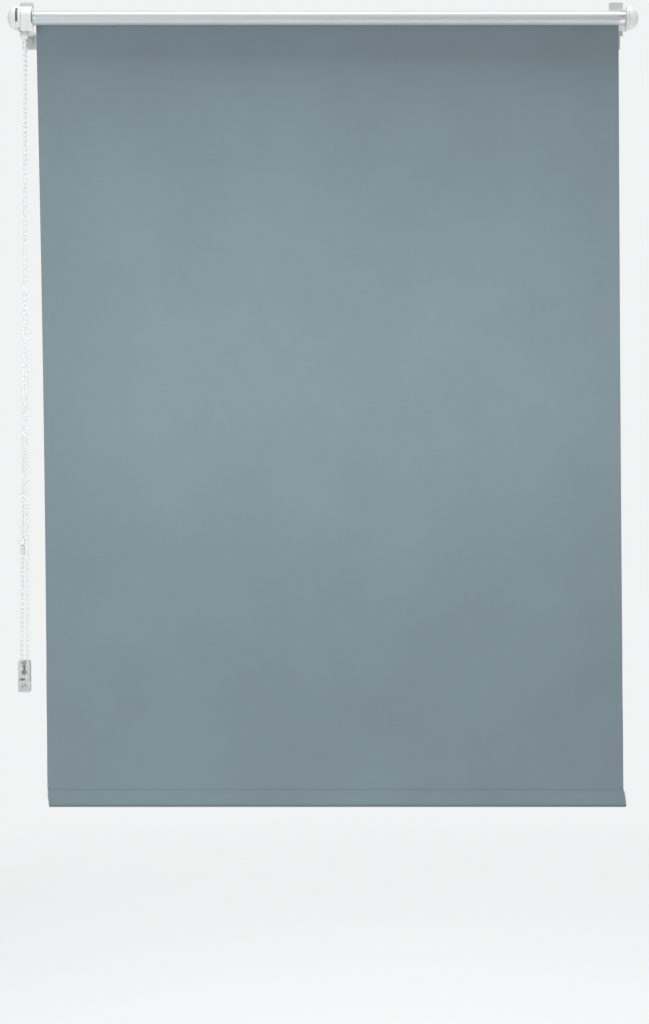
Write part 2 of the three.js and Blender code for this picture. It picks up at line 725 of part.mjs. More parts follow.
/** The plug that the chain wheel's hub turns, round the spindle and the clutch spring. */
function drivePlug() {
  const inner = boreRadius - plugFit - plugWall;
  place('drive_plug', plugBody(-1, halfTube - plugLength - cutOver, inner), grey);
  const springRadius = spindleRadius + seatGap + clutchWire / 2;
  coil('clutch_spring', -halfTube + clutchInset, clutchPitch, clutchCurls, springRadius, clutchWire, steel);
}

/** The idler's plug, cap, pin and spring. */
function idler() {
  const bore = idlerPinCollar + runGap;
  const capInner = halfTube - idlerCollarWidth;
  const capOuter = halfTube + seatGap + plugFlange;
  const capBody = rodX(capInner, capOuter, bore - seatGap, axisY, axisZ, plainSteps);
  const capBore = rodX(capInner - cutOver, capOuter + cutOver, idlerPinRadius + runGap,
    axisY, axisZ, plainSteps);
  place('idler_cap', cut(capBody, capBore), grey);
  const tip = rightCheekLeft - seatGap + idlerPinTravel;
  const collarRight = capInner - seatGap;
  const collarLeft = collarRight - idlerCollarWidth;
  const floor = collarLeft - idlerSpringLength - 2 * seatGap;
  place('idler_plug', plugBody(1, floor, bore), grey);
  const tail = collarLeft - idlerCollarWidth;
  const nose = idlerPinRadius / 2;
  const profile = [[tail, 0], [tail, idlerPinRadius], [collarLeft, idlerPinRadius],
    [collarLeft, idlerPinCollar], [collarRight, idlerPinCollar], [collarRight, idlerPinRadius],
    [tip - nose, idlerPinRadius], [tip, nose], [tip, 0]];
  place('idler_pin', turnedX(profile, axisY, axisZ, plainSteps), steel);
  const springEnd = collarLeft - seatGap - idlerWire / 2;
  const pitch = (idlerSpringLength - idlerWire) / idlerCurls;
  coil('idler_spring', springEnd - pitch * idlerCurls, pitch, idlerCurls,
    idlerPinRadius + seatGap + idlerWire / 2, idlerWire, steel);
}

// Cloth and hem

/** How far the hanging cloth stands towards the window, and how its edges lie. */
function clothPoint(across, down) {
  const belly = Math.sin(Math.PI * down);
  const middle = clothMiddle + clothSkew * down;
  const half = clothWidth / 2 - edgeDrawIn * belly;
  const x = middle + (2 * across - 1) * half;
  const edge = (1 - Math.abs(2 * across - 1)) * clothWidth / 2;
  const curl = edgeCurlDepth * belly * Math.exp(-((edge / edgeCurlWidth) ** 2));
  const lowShare = Math.max((down - lowWaveStartShare) / (1 - lowWaveStartShare), 0);
  const low = Math.sin(Math.PI * lowShare);
  const z = sheetTop + (sheetBottom - sheetTop) * down;
  const wave = lowWaveDepth / 2 * low * Math.sin(2 * Math.PI * (x - lowWaveSlope * z) / lowWaveLength);
  return [x, sheetY + curl + wave, z];
}

/** The hanging cloth, as one thin closed sheet with its main folds. */
function fabricSheet() {
  const vertices = [];
  for (const side of [-1, 1]) {
    for (let row = 0; row <= sheetRows; row += 1) {
      for (let column = 0; column <= sheetColumns; column += 1) {
        const across = (1 - Math.cos(Math.PI * column / sheetColumns)) / 2;
        const [x, y, z] = clothPoint(across, row / sheetRows);
        vertices.push(x, y + side * clothThickness / 2, z);
      }
    }
  }
  const wide = sheetColumns + 1;
  const layer = wide * (sheetRows + 1);
  const faces = [];
  const quad = (a, b, c, d) => faces.push(a, b, c, a, c, d);
  for (let row = 0; row < sheetRows; row += 1) {
    for (let column = 0; column < sheetColumns; column += 1) {
      const a = row * wide + column;
      quad(a, a + wide, a + wide + 1, a + 1);
      quad(layer + a, layer + a + 1, layer + a + wide + 1, layer + a + wide);
    }
    const [left, right] = [row * wide, row * wide + sheetColumns];
    quad(left, left + layer, left + layer + wide, left + wide);
    quad(right, right + wide, right + wide + layer, right + layer);
  }
  for (let column = 0; column < sheetColumns; column += 1) {
    const low = sheetRows * wide + column;
    quad(column, column + 1, column + 1 + layer, column + layer);
    quad(low, low + layer, low + layer + 1, low + 1);
  }
  place('fabric_sheet', solidOf(indexed(vertices, faces)), cloth);
}

/** The hem's outline: round at the bottom, drawn together at the seam. */
function hemOutline(half, bottom, top, seamHalf) {
  const shoulder = top - 3 * half;
  return [[sheetY - half, shoulder], ...arc(sheetY, bottom + half, half, Math.PI, 2 * Math.PI, smallSteps),
    [sheetY + half, shoulder], [sheetY + seamHalf, top], [sheetY - seamHalf, top]];
}

function hem() {
  const [left, right] = [hemMiddle - hemHalf, hemMiddle + hemHalf];
  const outline = hemOutline(pocketHalf, hemBottom, hemTop, seamThickness / 2);
  const inside = hemOutline(pocketHalf - clothThickness, hemBottom + clothThickness,
    hemTop - 2 * seamThickness, seamThickness / 2 - clothThickness / 2);
  place('hem_pocket', slabX(outline, left, right, [inside]), cloth);
  const barBottom = hemBottom + clothThickness + seatGap;
  const barHalf = barThickness / 2;
  const barOutline = (top) => [
    ...arc(sheetY, barBottom + barHalf, barHalf, Math.PI, 2 * Math.PI, flatSteps),
    ...arc(sheetY, top - barHalf, barHalf, 0, Math.PI, flatSteps)];
  const outlineOfBar = barOutline(barBottom + barHeight);
  const barEnds = [left + barCapDepth + seatGap, right - barCapDepth - seatGap];
  place('bottom_bar', slabX(outlineOfBar, ...barEnds), aluminium);
  const lipOutline = hemOutline(pocketHalf, hemBottom, hemTop - seamThickness, seamThickness / 2);
  [['bar_cap_left', left, 1], ['bar_cap_right', right, -1]].forEach(([name, end, inward]) => {
    const lip = rising([end - inward * (seatGap + barCapLip), end - inward * seatGap]);
    const stub = rising([end - inward * (seatGap + barCapLip / 2), end + inward * barCapDepth]);
    place(name, join(slabX(lipOutline, ...lip), slabX(outlineOfBar, ...stub)), clear);
  });
}

// Chain

/** The point at a share of the way down a strand. */
function strandPoint(strand, share) {
  return strand.high.clone().lerp(strand.low, share);
}

/** The chain's route, two points a bead: down the front, round the post, up the back, over the wheel. */
function chainRoute() {
  const half = 1 / 2;
  const points = [];
  const share = (step) => step * half / strandBeads;
  for (let i = 0; i < 2 * strandBeads; i += 1) {
    points.push(strandPoint(frontStrand, share(i)));
  }
  for (let i = 0; i < 2 * guideBeads; i += 1) {
    const angle = -Math.PI * i / (2 * guideBeads);
    points.push(new THREE.Vector3(holderX + guideRadius * Math.cos(angle), holderY,
      guideZ + guideRadius * Math.sin(angle)));
  }
  for (let i = 0; i < 2 * strandBeads; i += 1) {
    points.push(strandPoint(rearStrand, 1 - share(i)));
  }
  for (let i = 0; i < wheelPockets; i += 1) {
    const angle = Math.PI * i / wheelPockets;
    points.push(new THREE.Vector3(wheelX, axisY + pitchRadius * Math.cos(angle),
      axisZ + pitchRadius * Math.sin(angle)));
  }
  return points;
}

/** The endless bead chain: fat at each bead, thin at each link between two. */
function beadChain() {
  const route = chainRoute();
  const count = route.length;
  const bottom = 2 * strandBeads;
  const bottomEnd = bottom + 2 * guideBeads;
  const vertices = [];
  route.forEach((point, i) => {
    const tangent = route[(i + 1) % count].clone().sub(route[(i - 1 + count) % count]).normalize();
    const across = new THREE.Vector3(i < bottom + guideBeads ? 1 : -1, 0, 0);
    if (i >= bottom && i <= bottomEnd) {
      across.crossVectors(new THREE.Vector3(0, -1, 0), tangent);
    }
    across.addScaledVector(tangent, -across.dot(tangent)).normalize();
    const other = new THREE.Vector3().crossVectors(tangent, across);
    const radius = i % 2 === 0 ? beadRadius : linkRadius;
    for (let j = 0; j < chainSides; j += 1) {
      const turn = 2 * Math.PI * j / chainSides;
      const corner = point.clone().addScaledVector(across, radius * Math.cos(turn));
      corner.addScaledVector(other, radius * Math.sin(turn));
      vertices.push(corner.x, corner.y, corner.z);
    }
  });
  const faces = ringFaces(count, chainSides);
  for (let j = 0; j < chainSides; j += 1) {
    const [a, b] = [(count - 1) * chainSides + j, (count - 1) * chainSides + (j + 1) % chainSides];
    const [c, d] = [(j + chainSides / 2) % chainSides, (j + 1 + chainSides / 2) % chainSides];
    faces.push(a, b, d, a, d, c);
  }
  place('bead_chain', solidOf(indexed(vertices, faces)), white);
}

/** A piece with a bore along a strand, centred a distance below the wheel's axis. */
function onStrand(strand, drop, length, radius, makeSolid) {
  const middle = strandPoint(strand, drop / strandDrop);
  const along = strand.low.clone().sub(strand.high).normalize();
  const from = middle.clone().addScaledVector(along, -length / 2);
  const to = middle.clone().addScaledVector(along, length / 2);
  const boreFrom = from.clone().addScaledVector(along, -cutOver);
  const boreTo = to.clone().addScaledVector(along, cutOver);
  const bore = rodBetween(boreFrom, boreTo, chainBore + seatGap / 2, smallSteps);
  return cut(makeSolid(middle, from, to, radius), bore);
}

function chainStops() {
  const ball = (middle, from, to, radius) =>
    solidOf(new THREE.SphereGeometry(radius, smallSteps, flatSteps).translate(middle.x, middle.y, middle.z));
  const barrel = (middle, from, to, radius) => rodBetween(from, to, radius, smallSteps);
  const first = axisZ - housingBottom + stopGap + stopRadius;
  const second = first + chainTravel;
  const third = second + stopRadius + seatGap + connectorLength / 2;
  place('stop_bead_front', onStrand(frontStrand, first, 2 * stopRadius, stopRadius, ball), white);
  place('stop_bead_rear', onStrand(rearStrand, second, 2 * stopRadius, stopRadius, ball), white);
  place('chain_connector', onStrand(rearStrand, third, connectorLength, connectorRadius, barrel), clear);
}

/** The holder: adhesive pad, base with the guide post, clear cover and its screw. */
function chainHolder() {
  const x = holderX;
  const [left, right] = [x - holderWidth / 2, x + holderWidth / 2];
  const top = guideZ + holderTopAbove;
  const bottom = top - holderHeight;
  const baseBack = -holderPad;
  const baseFront = baseBack - holderPlate;
  const coverBack = baseFront - seatGap;
  const coverInner = coverBack - holderDepth;
  const coverFront = coverInner - holderWall;
  const screwZ = guideZ - holderScrewDrop;
  const postRadius = guideRadius - beadRadius - runGap;
  const inset = 2 * holderWall;
  place('holder_pad', block([left + inset, baseBack + seatGap, bottom + inset],
    [right - inset, 0, top - inset]), foam);
  const base = join(block([left, baseFront, bottom], [right, baseBack, top]),
    rodY(coverInner + seatGap, baseFront + holderPlate / 2, postRadius, x, guideZ, smallSteps));
  const screwHole = rodY(baseFront - cutOver, baseBack + cutOver, holderScrewRadius + seatGap,
    x, screwZ, smallSteps);
  place('holder_base', cut(base, screwHole), clear);
  const shell = block([left, coverFront, bottom], [right, coverBack, top]);
  const hollow = block([left + holderWall, coverInner, bottom + holderWall],
    [right - holderWall, coverBack + cutOver, top + cutOver]);
  const pillar = rodY(coverInner - holderWall / 2, coverBack, holderScrewHead + holderWall,
    x, screwZ, smallSteps);
  const shaft = rodY(coverFront - cutOver, coverBack + cutOver, holderScrewRadius + seatGap,
    x, screwZ, smallSteps);
  const sink = rodY(coverFront - cutOver, coverFront + holderWall, holderScrewHead + seatGap,
    x, screwZ, smallSteps);
  const notch = slabY([[x - holderNotchWidth / 2, top + cutOver], [x + holderNotchWidth / 2, top + cutOver],
    [x + postRadius / 2, top - holderNotchDepth], [x - postRadius / 2, top - holderNotchDepth]],
  coverFront - cutOver, coverInner + seatGap);
  const bandZ = guideZ - holderBandDrop;
  const band = block([left + 2 * holderWall, coverFront - cutOver, bandZ - holderBandHeight],
    [x + holderWall, coverInner + seatGap, bandZ + holderBandHeight]);
  const eye = rodY(coverFront - cutOver, coverInner + seatGap, holderEyeRadius,
    x + holderEyeShift, guideZ + holderEyeRaise, smallSteps);
  place('holder_cover', cut(join(cut(shell, hollow), pillar), shaft, sink, notch, band, eye), clear);
  const headFront = coverFront + seatGap / 2;
  const headBack = coverFront + holderWall - seatGap;
  const profile = [[headFront, 0], [headFront, holderScrewHead], [headBack, holderScrewHead],
    [headBack, holderScrewRadius], [baseBack, holderScrewRadius], [baseBack, 0]];
  place('holder_screw', turnedY(profile, x, screwZ, smallSteps), steel);
}

for (const [side, x] of [['left', leftCarrierX], ['right', rightCarrierX]]) {
  carrier(`carrier_${side}`, x);
  clampPad(`clamp_pad_${side}`, x);
  clampScrew(`clamp_screw_${side}`, x);
  thumbWheel(`thumb_wheel_${side}`, x);
  bracketScrew(`bracket_screw_${side}`, x);
}
brackets();
endCap('end_cap_left', -1, leftCheekLeft - seatGap, leftCapLength);
endCap('end_cap_right', 1, rightCheekRight + seatGap, rightCapLength);
driveHousing();
chainGuide();
chainGuard();
spindle();
chainWheel();
rollerTube();
fabricRoll();
drivePlug();
idler();
fabricSheet();
hem();
beadChain();
chainStops();
chainHolder();

export default part;
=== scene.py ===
"""Clamp-on roller blackout blind with a bead chain drive, hung fully lowered.

All sizes in the classes below are millimetres. X runs to the right seen from the front, Y from the front
to the back, Z up. Every mesh is scaled to metres as it is made.
"""

import json
import logging
import math
from dataclasses import dataclass, field
from enum import Enum

import bmesh
import bpy
from mathutils import Matrix, Vector, noise

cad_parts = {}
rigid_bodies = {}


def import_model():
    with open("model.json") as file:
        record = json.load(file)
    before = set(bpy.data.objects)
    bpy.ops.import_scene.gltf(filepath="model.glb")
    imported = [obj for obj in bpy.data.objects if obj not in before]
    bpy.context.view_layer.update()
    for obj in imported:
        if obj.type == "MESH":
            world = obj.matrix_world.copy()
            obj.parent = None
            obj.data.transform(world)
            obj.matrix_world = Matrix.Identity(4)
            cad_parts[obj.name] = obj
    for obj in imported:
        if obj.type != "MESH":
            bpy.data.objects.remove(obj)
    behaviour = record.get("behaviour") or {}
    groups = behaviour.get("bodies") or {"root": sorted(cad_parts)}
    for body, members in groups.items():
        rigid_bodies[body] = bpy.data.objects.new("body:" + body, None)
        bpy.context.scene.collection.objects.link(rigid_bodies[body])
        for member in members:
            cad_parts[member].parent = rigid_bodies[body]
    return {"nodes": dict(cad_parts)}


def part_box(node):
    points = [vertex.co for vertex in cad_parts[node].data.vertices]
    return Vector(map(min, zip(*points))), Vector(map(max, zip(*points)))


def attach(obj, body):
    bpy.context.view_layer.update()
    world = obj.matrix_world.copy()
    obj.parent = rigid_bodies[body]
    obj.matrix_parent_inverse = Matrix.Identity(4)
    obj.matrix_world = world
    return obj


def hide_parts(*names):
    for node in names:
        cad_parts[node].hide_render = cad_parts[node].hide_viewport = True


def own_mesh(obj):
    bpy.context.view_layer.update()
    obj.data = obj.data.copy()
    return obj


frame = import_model()

log = logging.getLogger("blind")

MM = 0.001
FULL_TURN = 2 * math.pi

# The tube's axis in Y and Z, the chain wheel's middle in X, and a place on the lower left slant
TUBE_AXIS = (-19.0, 15.7)
WHEEL_X = -390.4
LEFT_SLANT = (-398.4, 3.0)

# How far a cutter runs past what it cuts
OVERRUN = 2.0

Pair = tuple[float, float]
Point = tuple[float, float, float]
Outline = list[Pair]
Faces = list[tuple[int, ...]]
Piece = bpy.types.Object
Material = bpy.types.Material


class Axis(Enum):
    """The axis that a prism or a turned piece runs along."""

    X = 0
    Y = 1
    Z = 2


class Side(Enum):
    """The blind's two ends."""

    LEFT = -1
    RIGHT = 1

    @property
    def word(self) -> str:
        """The side's name in lower case."""
        return self.name.lower()


class Body(Enum):
    """The moving groups that the pieces ride on."""

    ROOT = "root"
    ROLLER = "roller"
    RAIL = "bottom_rail"
    STOP_FRONT = "stop_front"
    STOP_REAR = "stop_rear"


class Blend(Enum):
    """How two solids are combined."""

    JOIN = "UNION"
    CUT = "DIFFERENCE"


@dataclass(frozen=True)
class Box:
    """A node's box at rest, in millimetres."""

    x0: float
    y0: float
    z0: float
    x1: float
    y1: float
    z1: float

    @classmethod
    def of(cls, node: str) -> "Box":
        """Reads a node's box from the frame.

        Args:
            node: the CAD node's name.

        Returns:
            The node's box.
        """
        low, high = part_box(node)
        return cls(*(value / MM for value in low), *(value / MM for value in high))

    @property
    def middle(self) -> Point:
        """The middle of the box."""
        return (self.x0 + self.x1) / 2, (self.y0 + self.y1) / 2, (self.z0 + self.z1) / 2


# Meshes


def new_piece(name: str, points: list[Point], faces: Faces) -> Piece:
    """Makes an object from points in millimetres and faces, with its normals out.

    Args:
        name: the object's name.
        points: corner points in millimetres.
        faces: corner numbers of each face.

    Returns:
        The new object, linked to the scene.
    """
    mesh = bpy.data.meshes.new(name)
    mesh.from_pydata([tuple(value * MM for value in point) for point in points], [], faces)
    grid = bmesh.new()
    grid.from_mesh(mesh)
    bmesh.ops.recalc_face_normals(grid, faces=grid.faces)
    grid.to_mesh(mesh)
    grid.free()
    piece = bpy.data.objects.new(name, mesh)
    bpy.context.scene.collection.objects.link(piece)
    return piece


def set_along(axis: Axis, along: float, u: float, v: float) -> Point:
    """Puts a place along an axis and two places across it in X, Y, Z order.

    Args:
        axis: the axis that `along` belongs to.
        along: the place along it.
        u: the first of the two other places.
        v: the second of them.

    Returns:
        The point.
    """
    return {Axis.X: (along, u, v), Axis.Y: (u, along, v), Axis.Z: (u, v, along)}[axis]


def prism(name: str, outline: Outline, axis: Axis, low: float, high: float) -> Piece:
    """Makes a straight solid from an outline across an axis.

    Args:
        name: the object's name.
        outline: points across the axis.
        axis: the axis that the solid runs along.
        low: where it starts.
        high: where it ends.

    Returns:
        The new object.
    """
    count = len(outline)
    points = [set_along(axis, place, u, v) for place in (low, high) for u, v in outline]
    faces: Faces = [tuple(range(count)), tuple(range(count, 2 * count))]
    faces += [(i, (i + 1) % count, count + (i + 1) % count, count + i) for i in range(count)]
    return new_piece(name, points, faces)


def slab(name: str, low: Point, high: Point) -> Piece:
    """Makes a rectangular blank between two corners, which is then shaped further.

    Args:
        name: the object's name.
        low: the lowest corner.
        high: the highest corner.

    Returns:
        The new object.
    """
    outline = [(low[1], low[2]), (high[1], low[2]), (high[1], high[2]), (low[1], high[2])]
    return prism(name, outline, Axis.X, low[0], high[0])


def turned(name: str, profile: Outline, axis: Axis, centre: Pair, steps: int = 48) -> Piece:
    """Makes a piece turned about an axis.

    Args:
        name: the object's name.
        profile: (along, radius) pairs; a radius of 0 closes the end, and a last pair equal to the first
            closes the section.
        axis: the turning axis.
        centre: the axis's place in the two other directions.
        steps: flats round the piece.

    Returns:
        The new object.
    """
    points, rings = [], []
    closed = profile[0] == profile[-1]
    for along, radius in profile[:-1] if closed else profile:
        if radius <= 0:
            rings.append([len(points)] * steps)
            points.append(set_along(axis, along, *centre))
            continue
        rings.append(list(range(len(points), len(points) + steps)))
        for i in range(steps):
            angle = FULL_TURN * i / steps
            points.append(set_along(axis, along, centre[0] + radius * math.cos(angle),
                                    centre[1] + radius * math.sin(angle)))
    if closed:
        rings.append(rings[0])
    faces = []
    for first, second in zip(rings, rings[1:]):
        for i in range(steps):
            j = (i + 1) % steps
            corners = dict.fromkeys((first[i], first[j], second[j], second[i]))
            if len(corners) > 2:
                faces.append(tuple(corners))
    return new_piece(name, points, faces)


def rod(axis: Axis, low: float, high: float, radius: float, centre: Pair,
        steps: int = 48, chamfer: float = 0.0) -> Piece:
    """Makes a round rod, with a chamfer at each end where one is given.

    Args:
        axis: the axis that the rod runs along.
        low: where it starts.
        high: where it ends.
        radius: its radius.
        centre: its place across the axis.
        steps: flats round it.
        chamfer: size of the chamfer.

    Returns:
        The new object.
    """
    profile = [(low, 0.0), (low, radius - chamfer), (low + chamfer, radius),
               (high - chamfer, radius), (high, radius - chamfer), (high, 0.0)]
    if chamfer <= 0:
        profile = [(low, 0.0), (low, radius), (high, radius), (high, 0.0)]
    return turned("rod", profile, axis, centre, steps)


def arc(centre: Pair, radius: float, start: float, end: float, steps: int) -> Outline:
    """Lists the points of an arc.

    Args:
        centre: the arc's centre.
        radius: its radius.
        start: first angle in radians.
        end: last angle in radians.
        steps: pieces of the arc.

    Returns:
        The points.
    """
    angles = [start + (end - start) * i / steps for i in range(steps + 1)]
    return [(centre[0] + radius * math.cos(a), centre[1] + radius * math.sin(a)) for a in angles]


def rounded(u0: float, v0: float, u1: float, v1: float, radius: float, steps: int = 6) -> Outline:
    """Lists the outline of a rectangle with round corners.

    Args:
        u0: first side.
        v0: bottom side.
        u1: last side.
        v1: top side.
        radius: corner radius.
        steps: pieces of each corner.

    Returns:
        The outline.
    """
    quarter = math.pi / 2
    corners = [((u1 - radius, v1 - radius), 0.0), ((u0 + radius, v1 - radius), quarter),
               ((u0 + radius, v0 + radius), 2 * quarter), ((u1 - radius, v0 + radius), 3 * quarter)]
    return [point for centre, start in corners
            for point in arc(centre, radius, start, start + quarter, steps)]


def band(low: int, high: int, steps: int) -> Faces:
    """Lists the faces between two closed rings of points.

    Args:
        low: number of the first ring's first point.
        high: number of the second ring's first point.
        steps: points in each ring.

    Returns:
        The faces.
    """
    return [(low + j, low + (j + 1) % steps, high + (j + 1) % steps, high + j) for j in range(steps)]


def settle(piece: Piece) -> Piece:
    """Applies a piece's modifiers to its mesh.

    Args:
        piece: the object.

    Returns:
        The same object, with a plain mesh.
    """
    depsgraph = bpy.context.evaluated_depsgraph_get()
    mesh = bpy.data.meshes.new_from_object(piece.evaluated_get(depsgraph), depsgraph=depsgraph)
    piece.modifiers.clear()
    old, piece.data = piece.data, mesh
    bpy.data.meshes.remove(old)
    return piece


def combine(piece: Piece, how: Blend, *others: Piece) -> Piece:
    """Joins solids to a piece or cuts them out of it, and removes them.

    Args:
        piece: the object that stays.
        how: whether they are joined or cut.
        others: the solids.

    Returns:
        The changed object.
    """
    for other in others:
        modifier = piece.modifiers.new(how.value, "BOOLEAN")
        modifier.operation = how.value
        modifier.solver = "EXACT"
        modifier.object = other
    settle(piece)
    for other in others:
        mesh = other.data
        bpy.data.objects.remove(other, do_unlink=True)
        bpy.data.meshes.remove(mesh)
    return piece


def smooth(piece: Piece, angle: float = 32.0) -> Piece:
    """Shades a piece smooth, with sharp edges above an angle.

    Args:
        piece: the object.
        angle: degrees between faces above which an edge stays sharp.

    Returns:
        The same object.
    """
    piece.data.shade_smooth()
    piece.data.set_sharp_from_angle(angle=math.radians(angle))
    return piece


def soften(piece: Piece, width: float, segments: int = 3, angle: float = 32.0) -> Piece:
    """Rounds a piece's edges and smooths its shading, as a mould does.

    Args:
        piece: the object.
        width: how far each edge is taken off.
        segments: steps of each rounding.
        angle: degrees between faces above which an edge is rounded.

    Returns:
        The same object.
    """
    bevel = piece.modifiers.new("edges", "BEVEL")
    bevel.width = width * MM
    bevel.segments = segments
    bevel.limit_method = "ANGLE"
    bevel.angle_limit = math.radians(angle)
    bevel.use_clamp_overlap = True
    bevel.miter_outer = "MITER_ARC"
    settle(piece)
    smooth(piece, angle + 8)
    piece.modifiers.new("flats", "WEIGHTED_NORMAL").keep_sharp = True
    return settle(piece)


def cross_recess(screw: Piece, box: Box, reach: float, half: float, depth: float) -> Piece:
    """Cuts the cross recess in a screw's head and rounds the screw's edges.

    Args:
        screw: the turned screw, with its head at the front.
        box: the box of the node that it stands for.
        reach: length of the cross's arms from the screw's axis.
        half: half the arms' width.
        depth: the recess's depth.

    Returns:
        The screw.
    """
    x, _, z = box.middle
    arms = [slab("arm", (x - wide, box.y0 - OVERRUN / 2, z - high), (x + wide, box.y0 + depth, z + high))
            for wide, high in ((reach, half), (half, reach))]
    combine(screw, Blend.CUT, *arms)
    return soften(screw, 0.08, 1)


def finish_piece(piece: Piece, name: str, body: Body | str, material: Material | list,
                 replaces: tuple[str, ...] = ()) -> Piece:
    """Names a piece, gives it its finish and its body, and hides the node that it stands for.

    Args:
        piece: the object.
        name: its name.
        body: the moving group that carries it.
        material: its finish, or one finish for each material index.
        replaces: CAD nodes that it stands for.

    Returns:
        The same object.
    """
    piece.name = piece.data.name = name
    layers = [face.material_index for face in piece.data.polygons]
    piece.data.materials.clear()
    for one in material if isinstance(material, list) else [material]:
        piece.data.materials.append(one)
    piece.data.polygons.foreach_set("material_index", layers)
    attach(piece, body.value if isinstance(body, Body) else body)
    if replaces:
        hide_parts(*replaces)
    return piece


# Finishes

Tree = bpy.types.NodeTree
Node = bpy.types.Node
Socket = bpy.types.NodeSocket
Feed = Socket | float
Colour = tuple[float, float, float]


class Desk:
    """Adds and links the nodes of one tree."""

    def __init__(self, tree: Tree) -> None:
        """Keeps the tree.

        Args:
            tree: the node tree to work on.
        """
        self.tree = tree

    def add(self, kind: str, **settings: object) -> Node:
        """Adds a node and sets its properties.

        Args:
            kind: the node's type.
            settings: property names and values.

        Returns:
            The node.
        """
        node = self.tree.nodes.new(kind)
        for name, value in settings.items():
            setattr(node, name, value)
        return node

    def feed(self, socket: Socket, value: Feed | tuple) -> None:
        """Links a socket to another, or sets its value.

        Args:
            socket: the input.
            value: an output socket or a plain value.
        """
        if isinstance(value, Socket):
            self.tree.links.new(value, socket)
        else:
            socket.default_value = value

    def math(self, operation: str, first: Feed, second: Feed = 0.0, clamp: bool = False) -> Socket:
        """Adds a Math node.

        Args:
            operation: its operation.
            first: first input.
            second: second input.
            clamp: whether the result stays between 0 and 1.

        Returns:
            The result's socket.
        """
        node = self.add("ShaderNodeMath", operation=operation, use_clamp=clamp)
        self.feed(node.inputs[0], first)
        if len(node.inputs) > 1:
            self.feed(node.inputs[1], second)
        return node.outputs[0]

    def noise(self, vector: Socket, scale: Feed, detail: float = 3.0, rough: float = 0.5,
              stretch: Point | None = None) -> Socket:
        """Adds a noise texture.

        Args:
            vector: its coordinates.
            scale: its scale, per metre.
            detail: number of octaves.
            rough: strength of the finer octaves.
            stretch: scale of the coordinates along each axis, to draw the noise out.

        Returns:
            The noise value's socket.
        """
        if stretch:
            mapping = self.add("ShaderNodeMapping")
            self.feed(mapping.inputs["Vector"], vector)
            mapping.inputs["Scale"].default_value = stretch
            vector = mapping.outputs["Vector"]
        node = self.add("ShaderNodeTexNoise")
        self.feed(node.inputs["Vector"], vector)
        self.feed(node.inputs["Scale"], scale)
        self.feed(node.inputs["Detail"], detail)
        self.feed(node.inputs["Roughness"], rough)
        return node.outputs["Fac"]

    def ramp(self, value: Socket, low: float, high: float, start: Feed = 0.0, end: Feed = 1.0) -> Socket:
        """Spreads a range of values over another, smoothly.

        Args:
            value: the input.
            low: the value that gives `start`.
            high: the value that gives `end`.
            start: lowest result.
            end: highest result.

        Returns:
            The result's socket.
        """
        node = self.add("ShaderNodeMapRange", interpolation_type="SMOOTHSTEP")
        for name, one in (("Value", value), ("From Min", low), ("From Max", high),
                          ("To Min", start), ("To Max", end)):
            self.feed(node.inputs[name], one)
        return node.outputs["Result"]

    def blend(self, factor: Feed, first: Feed | tuple, second: Feed | tuple, how: str = "MIX") -> Socket:
        """Mixes two colours.

        Args:
            factor: share of the second.
            first: first colour.
            second: second colour.
            how: the mix's type.

        Returns:
            The colour's socket.
        """
        node = self.add("ShaderNodeMix", data_type="RGBA", blend_type=how, clamp_factor=True)
        self.feed(node.inputs["Factor"], factor)
        colours = [one for one in node.inputs if one.type == "RGBA"]
        self.feed(colours[0], first)
        self.feed(colours[1], second)
        return [one for one in node.outputs if one.type == "RGBA"][0]

    def group(self, tree: Tree, **values: Feed) -> Node:
        """Places a node group.

        Args:
            tree: the group.
            values: its inputs, with low lines for spaces.

        Returns:
            The group's node.
        """
        node = self.add("ShaderNodeGroup", node_tree=tree)
        for name, value in values.items():
            self.feed(node.inputs[name.replace("_", " ").capitalize()], value)
        return node


GroupParts = tuple[Tree, Desk, Node, Node]


def new_group(name: str, inputs: dict[str, float], outputs: list[str]) -> GroupParts:
    """Starts a shader node group.

    Args:
        name: the group's name.
        inputs: names and usual values of its number inputs.
        outputs: names of its number outputs.

    Returns:
        The group, its desk, and the nodes that hold its inputs and outputs.
    """
    tree = bpy.data.node_groups.new(name, "ShaderNodeTree")
    for one, value in inputs.items():
        socket = tree.interface.new_socket(name=one, in_out="INPUT", socket_type="NodeSocketFloat")
        socket.default_value = value
    for one in outputs:
        tree.interface.new_socket(name=one, in_out="OUTPUT", socket_type="NodeSocketFloat")
    desk = Desk(tree)
    return tree, desk, desk.add("NodeGroupInput"), desk.add("NodeGroupOutput")


def object_places(desk: Desk) -> Socket:
    """Gives the object coordinates, in metres."""
    return desk.add("ShaderNodeTexCoord").outputs["Object"]


def edge_wear_group() -> Tree:
    """Makes the group that finds rubbed edges.

    Returns:
        The group, with Radius in metres and Breakup per metre, and the output Wear.
    """
    tree, desk, given, result = new_group("Edge wear", {"Radius": 0.0006, "Breakup": 260.0}, ["Wear"])
    bevel = desk.add("ShaderNodeBevel", samples=4)
    desk.feed(bevel.inputs["Radius"], given.outputs["Radius"])
    geometry = desk.add("ShaderNodeNewGeometry")
    dot = desk.add("ShaderNodeVectorMath", operation="DOT_PRODUCT")
    desk.feed(dot.inputs[0], bevel.outputs["Normal"])
    desk.feed(dot.inputs[1], geometry.outputs["Normal"])
    edge = desk.ramp(dot.outputs["Value"], 0.995, 0.86)
    patches = desk.noise(object_places(desk), given.outputs["Breakup"], 4.0, 0.6)
    broken = desk.ramp(patches, 0.38, 0.62)
    desk.feed(result.inputs["Wear"], desk.math("MULTIPLY", edge, broken, clamp=True))
    return tree


